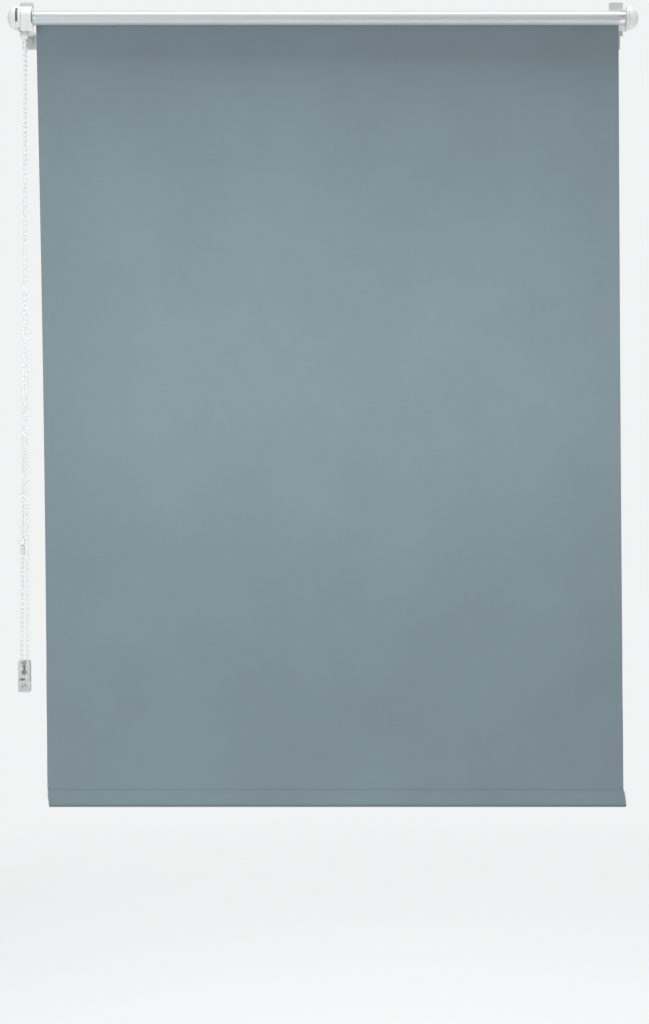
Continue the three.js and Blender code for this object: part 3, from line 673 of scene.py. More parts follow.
def mould_grain_group() -> Tree:
    """Makes the group for the fine spark texture of a moulded face.

    Returns:
        The group, with Scale and Swirl per metre, and the outputs Height and Gloss.
    """
    inputs = {"Scale": 2600.0, "Swirl": 42.0}
    tree, desk, given, result = new_group("Mould grain", inputs, ["Height", "Gloss"])
    places = object_places(desk)
    fine = desk.noise(places, given.outputs["Scale"], 2.0, 0.7)
    flow = desk.noise(places, given.outputs["Swirl"], 3.0, 0.45)
    height = desk.math("ADD", desk.math("MULTIPLY", fine, 0.7), desk.math("MULTIPLY", flow, 0.3))
    desk.feed(result.inputs["Height"], height)
    desk.feed(result.inputs["Gloss"], desk.ramp(flow, 0.3, 0.7))
    return tree


def weave_group() -> Tree:
    """Makes the group for a plain weave, warp upright and weft across.

    Returns:
        The group, with Threads per metre and Slub, and the outputs Height, Thread and Tone.
    """
    inputs = {"Threads": 1900.0, "Slub": 0.5}
    tree, desk, given, result = new_group("Plain weave", inputs, ["Height", "Thread", "Tone"])
    places = object_places(desk)
    split = desk.add("ShaderNodeSeparateXYZ")
    desk.feed(split.inputs[0], places)
    turn = desk.math("MULTIPLY", given.outputs["Threads"], math.pi)
    wander = desk.math("MULTIPLY", desk.noise(places, 90.0, 2.0), 1.6)
    warp = desk.math("SINE", desk.math("ADD", desk.math("MULTIPLY", split.outputs["X"], turn), wander))
    weft = desk.math("SINE", desk.math("ADD", desk.math("MULTIPLY", split.outputs["Z"], turn), wander))
    over = desk.math("MULTIPLY", warp, weft)
    height = desk.math("ADD", desk.math("MULTIPLY", over, 0.5), 0.5)
    upright, level = (desk.noise(places, 700.0, 3.0, 0.6, stretch)
                      for stretch in ((1.0, 1.0, 0.06), (0.06, 1.0, 1.0)))
    slubs = desk.math("MULTIPLY", desk.math("ADD", upright, level), 0.5)
    slubbed = desk.math("MULTIPLY", desk.math("SUBTRACT", slubs, 0.5), given.outputs["Slub"])
    desk.feed(result.inputs["Height"], desk.math("ADD", height, slubbed))
    desk.feed(result.inputs["Thread"], height)
    desk.feed(result.inputs["Tone"], desk.math("ADD", slubbed, 0.5, clamp=True))
    return tree


def dust_group() -> Tree:
    """Makes the group for the dust that settles on upward faces.

    Returns:
        The group, with the inputs Amount and Scale, and the output Dust.
    """
    tree, desk, given, result = new_group("Settled dust", {"Amount": 0.3, "Scale": 150.0}, ["Dust"])
    geometry = desk.add("ShaderNodeNewGeometry")
    split = desk.add("ShaderNodeSeparateXYZ")
    desk.feed(split.inputs[0], geometry.outputs["Normal"])
    facing = desk.ramp(split.outputs["Z"], 0.35, 0.95)
    specks = desk.noise(object_places(desk), given.outputs["Scale"], 5.0, 0.65)
    lying = desk.math("MULTIPLY", facing, desk.ramp(specks, 0.35, 0.75))
    desk.feed(result.inputs["Dust"], desk.math("MULTIPLY", lying, given.outputs["Amount"], clamp=True))
    return tree


@dataclass
class Effects:
    """The shared node groups, each built once."""

    wear: Tree = field(default_factory=edge_wear_group)
    grain: Tree = field(default_factory=mould_grain_group)
    weave: Tree = field(default_factory=weave_group)
    dust: Tree = field(default_factory=dust_group)


def new_material(name: str) -> tuple[Material, Desk, Node]:
    """Starts a material with one Principled shader.

    Args:
        name: the material's name.

    Returns:
        The material, its desk and its shader.
    """
    material = bpy.data.materials.new(name)
    material.use_nodes = True
    desk = Desk(material.node_tree)
    return material, desk, material.node_tree.nodes["Principled BSDF"]


def raise_surface(desk: Desk, shader: Node, height: Socket, depth: float,
                  strength: float) -> None:
    """Feeds a height into the shader's normal.

    Args:
        desk: the material's desk.
        shader: its shader.
        height: the height's socket.
        depth: its depth in millimetres.
        strength: the bump's strength.
    """
    bump = desk.add("ShaderNodeBump")
    bump.inputs["Strength"].default_value = strength
    bump.inputs["Distance"].default_value = depth * MM
    desk.feed(bump.inputs["Height"], height)
    desk.feed(shader.inputs["Normal"], bump.outputs["Normal"])


@dataclass(frozen=True)
class MouldedPlastic:
    """Satin injection moulding, with a fine grain, rubbed edges and a little dust."""

    name: str
    colour: Colour
    rubbed: Colour
    roughness: float = 0.38
    grain: float = 0.05
    dust: float = 0.25
    warmth: Colour = (0.97, 0.965, 0.95)
    dust_colour: Colour = (0.52, 0.51, 0.49)
    refraction: float = 1.49

    def material(self, effects: Effects) -> Material:
        """Makes the material.

        Args:
            effects: the shared node groups.

        Returns:
            The material.
        """
        material, desk, shader = new_material(self.name)
        grain = desk.group(effects.grain)
        wear = desk.group(effects.wear)
        dust = desk.group(effects.dust, amount=self.dust)
        warm = tuple(value * factor for value, factor in zip(self.colour, self.warmth))
        body = desk.blend(grain.outputs["Gloss"], (*warm, 1), (*self.colour, 1))
        worn = desk.blend(wear.outputs["Wear"], body, (*self.rubbed, 1))
        dusty = desk.blend(dust.outputs["Dust"], worn, (*self.dust_colour, 1))
        desk.feed(shader.inputs["Base Color"], dusty)
        rough = desk.ramp(grain.outputs["Gloss"], 0.0, 1.0, self.roughness - 0.05, self.roughness + 0.06)
        rougher = desk.math("ADD", rough, desk.math("MULTIPLY", dust.outputs["Dust"], 0.5), clamp=True)
        desk.feed(shader.inputs["Roughness"], rougher)
        shader.inputs["IOR"].default_value = self.refraction
        raise_surface(desk, shader, grain.outputs["Height"], self.grain, 0.25)
        return material


@dataclass(frozen=True)
class ClearPlastic:
    """Translucent moulding of the chain holder, the clips and the connector."""

    name: str
    colour: Colour
    clearness: float = 0.55
    scratched: Colour = (0.9, 0.92, 0.92)
    refraction: float = 1.46

    def material(self, effects: Effects) -> Material:
        """Makes the material.

        Args:
            effects: the shared node groups.

        Returns:
            The material.
        """
        material, desk, shader = new_material(self.name)
        grain = desk.group(effects.grain, scale=900.0, swirl=120.0)
        wear = desk.group(effects.wear)
        pale = tuple(min(value * 1.18, 1.0) for value in self.colour)
        body = desk.blend(grain.outputs["Gloss"], (*self.colour, 1), (*pale, 1))
        worn = desk.blend(wear.outputs["Wear"], body, (*self.scratched, 1))
        desk.feed(shader.inputs["Base Color"], worn)
        desk.feed(shader.inputs["Roughness"], desk.ramp(grain.outputs["Gloss"], 0.0, 1.0, 0.16, 0.3))
        shader.inputs["Transmission Weight"].default_value = self.clearness
        shader.inputs["IOR"].default_value = self.refraction
        raise_surface(desk, shader, grain.outputs["Height"], 0.03, 0.2)
        return material


@dataclass(frozen=True)
class WovenCloth:
    """Matt plain weave of the front; where a band is given, the hem's lowest part gets painted shade for
    the shadow under its rounded bottom.
    """

    name: str
    colour: Colour
    thread: Colour
    sheen: float = 0.12
    sheen_roughness: float = 0.5
    specular: float = 0.25
    thread_share: float = 0.35
    # fold: heights in millimetres of the painted shade under the hem's round bottom, full below the first
    # and none above the second
    fold: Pair | None = None
    fold_shade: float = 0.76

    def material(self, effects: Effects) -> Material:
        """Makes the material.

        Args:
            effects: the shared node groups.

        Returns:
            The material.
        """
        material, desk, shader = new_material(self.name)
        weave = desk.group(effects.weave)
        places = object_places(desk)
        clouds = desk.ramp(desk.noise(places, 7.0, 3.0), 0.3, 0.7)
        deep = tuple(value * 0.93 for value in self.colour)
        ground = desk.blend(clouds, (*deep, 1), (*self.colour, 1))
        raised = desk.math("MULTIPLY", weave.outputs["Thread"], self.thread_share)
        threads = desk.blend(raised, ground, (*self.thread, 1))
        tone = desk.ramp(weave.outputs["Tone"], 0.38, 0.62, 0.0, 0.3)
        woven = desk.blend(tone, threads, (*self.thread, 1))
        # Painted shade: the hem's bottom is darkened for the shadow on its underside.
        if self.fold:
            height = desk.add("ShaderNodeSeparateXYZ")
            desk.feed(height.inputs[0], places)
            painted_shade_mask = desk.ramp(height.outputs["Z"], self.fold[0] * MM, self.fold[1] * MM, 1.0, 0.0)
            woven = desk.blend(painted_shade_mask, woven, (*(self.fold_shade * value for value in self.colour), 1))
        desk.feed(shader.inputs["Base Color"], woven)
        desk.feed(shader.inputs["Roughness"], desk.ramp(weave.outputs["Thread"], 0.0, 1.0, 0.95, 0.82))
        shader.inputs["Sheen Weight"].default_value = self.sheen
        shader.inputs["Sheen Roughness"].default_value = self.sheen_roughness
        shader.inputs["Specular IOR Level"].default_value = self.specular
        raise_surface(desk, shader, weave.outputs["Height"], 0.12, 0.35)
        return material


@dataclass(frozen=True)
class CoatedCloth:
    """Silver coated reverse, with the weave showing faintly through it."""

    name: str
    colour: Colour
    metallic: float = 0.35

    def material(self, effects: Effects) -> Material:
        """Makes the material.

        Args:
            effects: the shared node groups.

        Returns:
            The material.
        """
        material, desk, shader = new_material(self.name)
        weave = desk.group(effects.weave, slub=0.9)
        places = object_places(desk)
        scuffs = desk.ramp(desk.noise(places, 16.0, 4.0, 0.5), 0.3, 0.75)
        dull = tuple(value * 0.97 for value in self.colour)
        base = desk.blend(scuffs, (*self.colour, 1), (*dull, 1))
        tone = desk.ramp(weave.outputs["Tone"], 0.38, 0.62, 0.0, 0.2)
        desk.feed(shader.inputs["Base Color"], desk.blend(tone, base, (*dull, 1)))
        desk.feed(shader.inputs["Roughness"], desk.ramp(scuffs, 0.0, 1.0, 0.47, 0.5))
        shader.inputs["Metallic"].default_value = self.metallic
        raise_surface(desk, shader, weave.outputs["Height"], 0.08, 0.25)
        return material


@dataclass(frozen=True)
class CutEdge:
    """The cloth's cut edge, where the foam core and loose fibres show."""

    name: str
    colour: Colour

    def material(self, effects: Effects) -> Material:
        """Makes the material.

        Args:
            effects: the shared node groups, not used here.

        Returns:
            The material.
        """
        material, desk, shader = new_material(self.name)
        fibres = desk.noise(object_places(desk), 2200.0, 4.0, 0.7)
        dark = tuple(value * 0.75 for value in self.colour)
        desk.feed(shader.inputs["Base Color"], desk.blend(fibres, (*dark, 1), (*self.colour, 1)))
        desk.feed(shader.inputs["Roughness"], desk.ramp(fibres, 0.2, 0.8, 0.8, 0.98))
        raise_surface(desk, shader, fibres, 0.1, 0.5)
        return material


@dataclass(frozen=True)
class BareMetal:
    """Metal with drawing lines along one axis."""

    name: str
    colour: Colour
    roughness: float
    lines: Point

    def material(self, effects: Effects) -> Material:
        """Makes the material.

        Args:
            effects: the shared node groups.

        Returns:
            The material.
        """
        material, desk, shader = new_material(self.name)
        places = object_places(desk)
        drawn = desk.noise(places, 1.0, 4.0, 0.65, self.lines)
        bloom = desk.ramp(desk.noise(places, 60.0, 4.0), 0.35, 0.75)
        wear = desk.group(effects.wear)
        dull = tuple(value * 0.82 for value in self.colour)
        base = desk.blend(bloom, (*self.colour, 1), (*dull, 1))
        bright = tuple(min(value * 1.12, 1.0) for value in self.colour)
        desk.feed(shader.inputs["Base Color"], desk.blend(wear.outputs["Wear"], base, (*bright, 1)))
        desk.feed(shader.inputs["Roughness"],
                  desk.ramp(drawn, 0.25, 0.75, self.roughness - 0.07, self.roughness + 0.1))
        shader.inputs["Metallic"].default_value = 1.0
        raise_surface(desk, shader, drawn, 0.03, 0.3)
        return material


@dataclass(frozen=True)
class SoftPad:
    """Rubber or foam, with open pores."""

    name: str
    colour: Colour
    pores: float

    def material(self, effects: Effects) -> Material:
        """Makes the material.

        Args:
            effects: the shared node groups.

        Returns:
            The material.
        """
        material, desk, shader = new_material(self.name)
        cells = desk.add("ShaderNodeTexVoronoi")
        desk.feed(cells.inputs["Vector"], object_places(desk))
        cells.inputs["Scale"].default_value = self.pores
        open_cells = desk.ramp(cells.outputs["Distance"], 0.1, 0.6)
        dust = desk.group(effects.dust, amount=0.35)
        dark = tuple(value * 0.88 for value in self.colour)
        base = desk.blend(open_cells, (*dark, 1), (*self.colour, 1))
        dusty = desk.blend(dust.outputs["Dust"], base, (0.4, 0.4, 0.39, 1))
        desk.feed(shader.inputs["Base Color"], dusty)
        desk.feed(shader.inputs["Roughness"], desk.ramp(open_cells, 0.0, 1.0, 0.95, 0.75))
        raise_surface(desk, shader, open_cells, 0.15, 0.5)
        return material


@dataclass
class Finishes:
    """Every finish of the blind."""

    white: Material
    bead: Material
    grey: Material
    dark: Material
    clear: Material
    frosted: Material
    cloth: Material
    hem: Material
    silver: Material
    edge: Material
    aluminium: Material
    steel: Material
    rubber: Material
    foam: Material

    @classmethod
    def build(cls) -> "Finishes":
        """Makes all the materials from their finishes.

        Returns:
            The set of materials.
        """
        effects = Effects()
        blue_grey, pale_thread = (0.219, 0.284, 0.316), (0.256, 0.328, 0.362)
        recipes = {
            "white": MouldedPlastic("White moulding", (0.86, 0.87, 0.87), (0.92, 0.92, 0.91), 0.42),
            "bead": MouldedPlastic("White beads", (0.92, 0.93, 0.935), (0.86, 0.86, 0.85), 0.28,
                                   grain=0.02, dust=0.08),
            "grey": MouldedPlastic("Grey moulding", (0.66, 0.68, 0.68), (0.76, 0.77, 0.77), 0.48,
                                   grain=0.08),
            # Dark grey moulding is used only inside the chain holder, as painted shade.
            "dark": MouldedPlastic("Dark grey moulding", (0.27, 0.28, 0.285), (0.36, 0.37, 0.37), 0.5,
                                   grain=0.06, dust=0.1),
            "clear": ClearPlastic("Smoky clear moulding", (0.93, 0.95, 0.955), 0.5),
            "frosted": ClearPlastic("Frosted moulding", (0.96, 0.97, 0.97), 0.1),
            "cloth": WovenCloth("Blackout cloth front", blue_grey, pale_thread),
            # The hem's band is painted shade under its rounded bottom.
            "hem": WovenCloth("Blackout cloth hem", blue_grey, pale_thread, fold=(-1000.9, -998.8)),
            "silver": CoatedCloth("Silver coated reverse", (0.62, 0.66, 0.68)),
            "edge": CutEdge("Cut cloth edge", (0.5, 0.56, 0.58)),
            "aluminium": BareMetal("Mill aluminium", (0.8, 0.81, 0.82), 0.34, (20.0, 2600.0, 2600.0)),
            "steel": BareMetal("Plated steel", (0.62, 0.63, 0.65), 0.3, (900.0, 900.0, 900.0)),
            "rubber": SoftPad("Pale rubber", (0.6, 0.61, 0.59), 3200.0),
            "foam": SoftPad("White foam tape", (0.78, 0.78, 0.75), 1600.0),
        }
        return cls(**{name: recipe.material(effects) for name, recipe in recipes.items()})


# Carriers and clamps


@dataclass
class Carrier:
    """A hook with its clamp: pad, screw and thumb wheel."""

    side: Side
    front_wall: float = 2.2
    wall: float = 2.4
    gusset: float = 6.0
    gusset_width: float = 3.0
    screw_drop: float = 9.0
    boss_radius: float = 5.0
    boss_length: float = 3.0
    lip: float = 4.6
    rib_width: float = 1.6
    rib_depth: float = 1.0
    screw_hole: float = 1.8
    screw_height: float = 12.4
    corner: float = 1.6
    pocket_edge: float = 4.5
    pocket_rise: float = 12.0
    pocket_corner: float = 1.2
    pocket_floor: float = 1.0
    pad_ribs: Pair = (1.2, 3.2)
    pad_rib_width: float = 1.4
    pad_rib_height: float = 0.25
    pad_rib_edge: float = 0.3
    pad_edge: float = 0.5
    pad_slope: float = 0.4
    socket_radius: float = 2.6
    socket_depth: float = 1.8
    screw_radius: float = 2.0
    screw_play: float = 0.35
    screw_sides: int = 20
    thread_pitch: float = 0.7
    thread_depth: float = 0.34
    thread_rows: int = 4
    point_share: float = 0.55
    end_share: float = 0.75
    taper_rows: int = 8
    knob_bore: float = 2.3
    knob_edge: float = 1.0
    knob_drop: float = 1.1
    knob_shoulder: float = 0.3
    dish_rim: float = 1.8
    dish_floor: float = 2.4
    dish_depth: float = 0.9
    hub_foot: float = 3.6
    hub_top: float = 3.2
    hub_drop: float = 0.2
    flutes: int = 20
    flute_steps: int = 6
    flute_depth: float = 0.45

    def hook(self) -> Piece:
        """Makes the hook, with ribs on its leg and rounded edges.

        Returns:
            The hook.
        """
        box = Box.of(f"carrier_{self.side.word}")
        back = box.y1 - self.boss_length
        middle = box.middle[0]
        front = -self.front_wall
        hook = slab("hook", (box.x0, front, -self.lip), (box.x1, 0, box.z1))
        shelf = slab("shelf", (box.x0, front / 2, 0), (box.x1, back, self.wall))
        leg = slab("leg", (box.x0, back - self.wall, box.z0), (box.x1, back, self.wall / 2))
        low, high = self.wall / 4, self.wall + self.gusset
        web = [(front, low), (self.gusset, low), (self.gusset, self.wall), (0, high), (front, high)]
        gussets = [prism("gusset", web, Axis.X, left, left + self.gusset_width)
                   for left in (box.x0, box.x1 - self.gusset_width)]
        sunk = back - self.wall / 2
        ribs = [slab("rib", (left, sunk, box.z0),
                     (left + self.rib_width, back + self.rib_depth, self.wall / 2))
                for left in (box.x0, box.x1 - self.rib_width)]
        screw = (middle, -self.screw_drop)
        boss = rod(Axis.Y, sunk, box.y1, self.boss_radius, screw)
        combine(hook, Blend.JOIN, shelf, leg, *gussets, *ribs, boss)
        bore = rod(Axis.Y, back - 2 * self.wall, box.y1 + OVERRUN, self.screw_radius + self.screw_play,
                   screw)
        hole = rod(Axis.Y, front - OVERRUN, OVERRUN, self.screw_hole, (middle, self.screw_height), 24)
        pocket_outline = rounded(middle - self.pocket_edge, self.screw_height + self.pocket_rise,
                                 middle + self.pocket_edge, box.z1 - self.pocket_edge, self.pocket_corner)
        pocket = prism("pocket", pocket_outline, Axis.Y, front + self.pocket_floor, OVERRUN)
        past = OVERRUN / 2
        low, high = box.z1 - self.corner - past, box.z1 + past
        corners = []
        for edge, sign in ((box.x0, -1), (box.x1, 1)):
            out, inside = edge + sign * past, edge - sign * (self.corner + past)
            corners.append(prism("corner", [(out, high), (out, low), (inside, high)], Axis.Y,
                                 front - past, past))
        combine(hook, Blend.CUT, bore, hole, pocket, *corners)
        return soften(hook, 0.45)

    def pad(self) -> Piece:
        """Makes the ribbed rubber pad that the clamp presses with.

        Returns:
            The pad.
        """
        box = Box.of(f"clamp_pad_{self.side.word}")
        x, _, z = box.middle
        radius = (box.x1 - box.x0) / 2
        face, back = box.y0, box.y1
        groove, edge = face + self.pad_rib_height, self.pad_edge
        profile = [(groove, 0.0)]
        for start in self.pad_ribs:
            end = start + self.pad_rib_width
            profile += [(groove, start), (face, start + self.pad_rib_edge),
                        (face, end - self.pad_rib_edge), (groove, end)]
        slope, socket = face + self.pad_slope, back - self.socket_depth
        profile += [(slope, radius - edge), (slope + edge, radius), (back - edge, radius),
                    (back, radius - edge), (back, self.socket_radius),
                    (socket, self.socket_radius - self.pad_rib_height), (socket, 0.0)]
        return smooth(turned("pad", profile, Axis.Y, (x, z)))

    def screw(self) -> Piece:
        """Makes the clamp screw with its rolled thread.

        Returns:
            The screw.
        """
        box = Box.of(f"clamp_screw_{self.side.word}")
        x, _, z = box.middle
        steps = self.screw_sides
        rings = int((box.y1 - box.y0) / (self.thread_pitch / self.thread_rows))
        points = [(x, box.y0, z)]
        for i in range(rings + 1):
            y = box.y0 + (box.y1 - box.y0) * i / rings
            taper = min(1.0, self.point_share + i / self.taper_rows,
                        self.end_share + (rings - i) / self.taper_rows)
            for j in range(steps):
                angle = FULL_TURN * j / steps
                phase = ((y - box.y0) / self.thread_pitch - j / steps) % 1.0
                radius = (self.screw_radius - self.thread_depth * abs(2 * phase - 1)) * taper
                points.append((x + radius * math.cos(angle), y, z + radius * math.sin(angle)))
        points.append((x, box.y1, z))
        faces = [(0, 1 + j, 1 + (j + 1) % steps) for j in range(steps)]
        for i in range(rings):
            faces += band(1 + i * steps, 1 + (i + 1) * steps, steps)
        last, end = 1 + rings * steps, len(points) - 1
        faces += [(last + (j + 1) % steps, last + j, end) for j in range(steps)]
        return smooth(new_piece("screw", points, faces), 50)

    def wheel(self) -> Piece:
        """Makes the knurled thumb wheel, with a dished face.

        Returns:
            The wheel.
        """
        box = Box.of(f"thumb_wheel_{self.side.word}")
        x, _, z = box.middle
        outer = (box.x1 - box.x0) / 2
        steps = self.flutes * self.flute_steps
        edge, shoulder, drop = self.knob_edge, outer - self.knob_shoulder, outer - self.knob_drop
        dish, hub = box.y1 - self.dish_depth, box.y1 - self.hub_drop
        profile = [(box.y0, self.knob_bore), (box.y0, drop), (box.y0 + edge / 2, shoulder),
                   (box.y0 + edge, outer), (box.y1 - edge, outer), (box.y1 - edge / 2, shoulder),
                   (box.y1, drop), (box.y1, outer - self.dish_rim), (dish, outer - self.dish_floor),
                   (dish, self.hub_foot), (hub, self.hub_top), (hub, self.knob_bore)]
        points = []
        for y, radius in profile:
            for j in range(steps):
                angle = FULL_TURN * j / steps
                flute = self.flute_depth * max(0.0, math.cos(self.flutes * angle)) ** 2
                reach = radius - flute if radius >= drop else radius
                points.append((x + reach * math.cos(angle), y, z + reach * math.sin(angle)))
        faces = []
        for i in range(len(profile)):
            faces += band(i * steps, (i + 1) % len(profile) * steps, steps)
        return smooth(new_piece("wheel", points, faces), 40)

    def build(self, finishes: Finishes) -> None:
        """Builds and dresses the carrier and its clamp.

        Args:
            finishes: the materials.
        """
        word = self.side.word
        finish_piece(self.hook(), f"carrier_hook_{word}", Body.ROOT, finishes.grey,
                     (f"carrier_{word}",))
        finish_piece(self.pad(), f"clamp_foot_{word}", f"clamp_{word}", finishes.rubber,
                     (f"clamp_pad_{word}",))
        finish_piece(self.screw(), f"clamp_thread_{word}", f"screw_{word}", finishes.steel,
                     (f"clamp_screw_{word}",))
        finish_piece(self.wheel(), f"clamp_knob_{word}", f"screw_{word}", finishes.white,
                     (f"thumb_wheel_{word}",))


# Brackets and end caps


def corner_cutter(front: float, back: float) -> Piece:
    """Makes the wedge that takes off a plate's lower left corner.

    Args:
        front: the plate's front.
        back: its back.

    Returns:
        The wedge.
    """
    x, z = LEFT_SLANT
    reach = 10 * OVERRUN
    outline = [(x - reach, z + reach), (x + reach, z - reach), (x - reach, z - reach)]
    return prism("wedge", outline, Axis.Y, front - OVERRUN, back + OVERRUN)


@dataclass
class EndFitting:
    """A bracket with its screw and its domed cap."""

    side: Side
    cheek: float = 2.3
    plate: float = 2.1
    plate_bottom: float = -4.5
    plate_top: float = 30.2
    plate_corner: float = 1.2
    cap_radius: float = 15.2
    cap_wall: float = 1.6
    cap_power: float = 1.9
    cap_steps: int = 24
    shadow_depth: float = 0.5
    shadow_width: float = 0.7
    dome_start: float = 0.75
    bore: float = 3.3
    screw_x: float = WHEEL_X
    screw_z: float = 12.4
    screw_hole: float = 1.8
    head_hole: float = 3.2
    head_depth: float = 1.3
    shank: float = 1.45
    notch_rise: float = 1.9
    notch_half: float = 8.7
    notch_depth: float = 9.0
    notch_past: float = 0.15

    def bracket(self) -> Piece:
        """Makes the bracket: a plate and a cheek with their holes, and a notch in the left one's cheek.

        Returns:
            The bracket.
        """
        box = Box.of(f"bracket_{self.side.word}")
        left = box.x0 if self.side is Side.LEFT else box.x1 - self.cheek
        right = left + self.cheek
        back = box.y1
        front = back - self.plate
        y, z = TUBE_AXIS
        cheek_outline = [(back, z - self.cap_radius), (back, z + self.cap_radius),
                         *arc(TUBE_AXIS, self.cap_radius, math.pi / 2, 1.5 * math.pi, 40)]
        cheek = prism("cheek", cheek_outline, Axis.X, left, right)
        plate_outline = rounded(box.x0, self.plate_bottom, box.x1, self.plate_top, self.plate_corner)
        plate = prism("plate", plate_outline, Axis.Y, front, back)
        if self.side is Side.LEFT:
            combine(plate, Blend.CUT, corner_cutter(front, back))
        combine(cheek, Blend.JOIN, plate)
        screw = (self.screw_x, self.screw_z)
        cuts = [rod(Axis.X, left - OVERRUN, right + OVERRUN, self.bore, TUBE_AXIS),
                rod(Axis.Y, front - OVERRUN, back + OVERRUN, self.screw_hole, screw, 32),
                rod(Axis.Y, front - OVERRUN, front + self.head_depth, self.head_hole, screw, 32)]
        if self.side is Side.LEFT:
            nose, middle, half = y - self.cap_radius, z + self.notch_rise, self.notch_half
            cuts.append(slab("notch", (left - OVERRUN, nose - OVERRUN, middle - half),
                             (right + self.notch_past, nose + self.notch_depth, middle + half)))
        combine(cheek, Blend.CUT, *cuts)
        return soften(cheek, 0.35)

    def screw(self) -> Piece:
        """Makes the countersunk screw with its cross recess.

        Returns:
            The screw.
        """
        box = Box.of(f"bracket_screw_{self.side.word}")
        x, _, z = box.middle
        head, radius = box.y0, (box.x1 - box.x0) / 2
        profile = [(head + 0.1, 0.0), (head, radius - 0.4), (head + 0.15, radius), (head + 0.5, radius),
                   (head + 1.0, self.shank + 0.25), (head + 1.2, self.shank), (box.y1 - 0.4, self.shank),
                   (box.y1, 1.0), (box.y1, 0.0)]
        return cross_recess(turned("screw", profile, Axis.Y, (x, z), 40), box, 1.7, 0.32, 0.75)

    def dome(self, start: float, reach: float, radius: float) -> Outline:
        """Lists a dome's profile from its rim to its crown.

        Args:
            start: the rim's place along X.
            reach: how far the crown stands out from the rim.
            radius: the rim's radius.

        Returns:
            The profile as (along, radius) pairs.
        """
        rows = []
        for i in range(self.cap_steps + 1):
            angle = math.pi / 2 * i / self.cap_steps
            out = max(math.cos(angle), 0.0) ** (2 / self.cap_power)
            along = self.side.value * reach * math.sin(angle) ** (2 / self.cap_power)
            rows.append((start + along, radius * out))
        rows[-1] = (rows[-1][0], 0.0)
        return rows

    def cap(self) -> Piece:
        """Makes the hollow domed cap, flat at its back, with a shadow step round its rim.

        Returns:
            The cap.
        """
        box = Box.of(f"end_cap_{self.side.word}")
        sign = self.side.value
        rim, crown = (box.x1, box.x0) if self.side is Side.LEFT else (box.x0, box.x1)
        length = abs(crown - rim)
        back = box.y1
        shadow = self.cap_radius - self.shadow_depth
        step = [(rim, 0.0), (rim, shadow), (rim + sign * self.shadow_width, shadow)]
        shell = self.dome(rim + sign * self.dome_start, length - self.dome_start, self.cap_radius)
        outer = turned("cap", step + shell, Axis.X, TUBE_AXIS, 96)
        start = rim - sign * OVERRUN
        core = self.dome(start, length + OVERRUN - self.cap_wall, self.cap_radius - self.cap_wall)
        inner = turned("hollow", [(start, 0.0), *core], Axis.X, TUBE_AXIS, 64)
        low_x, high_x = sorted((rim - sign * 2 * OVERRUN, crown + sign * 2 * OVERRUN))
        bottom, top, behind = -40.0, 70.0, 30.0
        wall = slab("wall", (low_x, back - self.cap_wall, bottom), (high_x, behind, top))
        combine(inner, Blend.CUT, wall)
        flat = slab("flat", (low_x, back, bottom), (high_x, behind, top))
        combine(outer, Blend.CUT, inner, flat)
        return soften(outer, 0.3, 2, 40)

    def build(self, finishes: Finishes) -> None:
        """Builds and dresses the bracket, its screw and its cap.

        Args:
            finishes: the materials.
        """
        word = self.side.word
        finish_piece(self.bracket(), f"bracket_body_{word}", Body.ROOT, finishes.white,
                     (f"bracket_{word}",))
        finish_piece(self.screw(), f"bracket_fixing_{word}", Body.ROOT, finishes.steel,
                     (f"bracket_screw_{word}",))
        finish_piece(self.cap(), f"dome_{word}", Body.ROOT, finishes.white,
                     (f"end_cap_{word}",))


# Drive


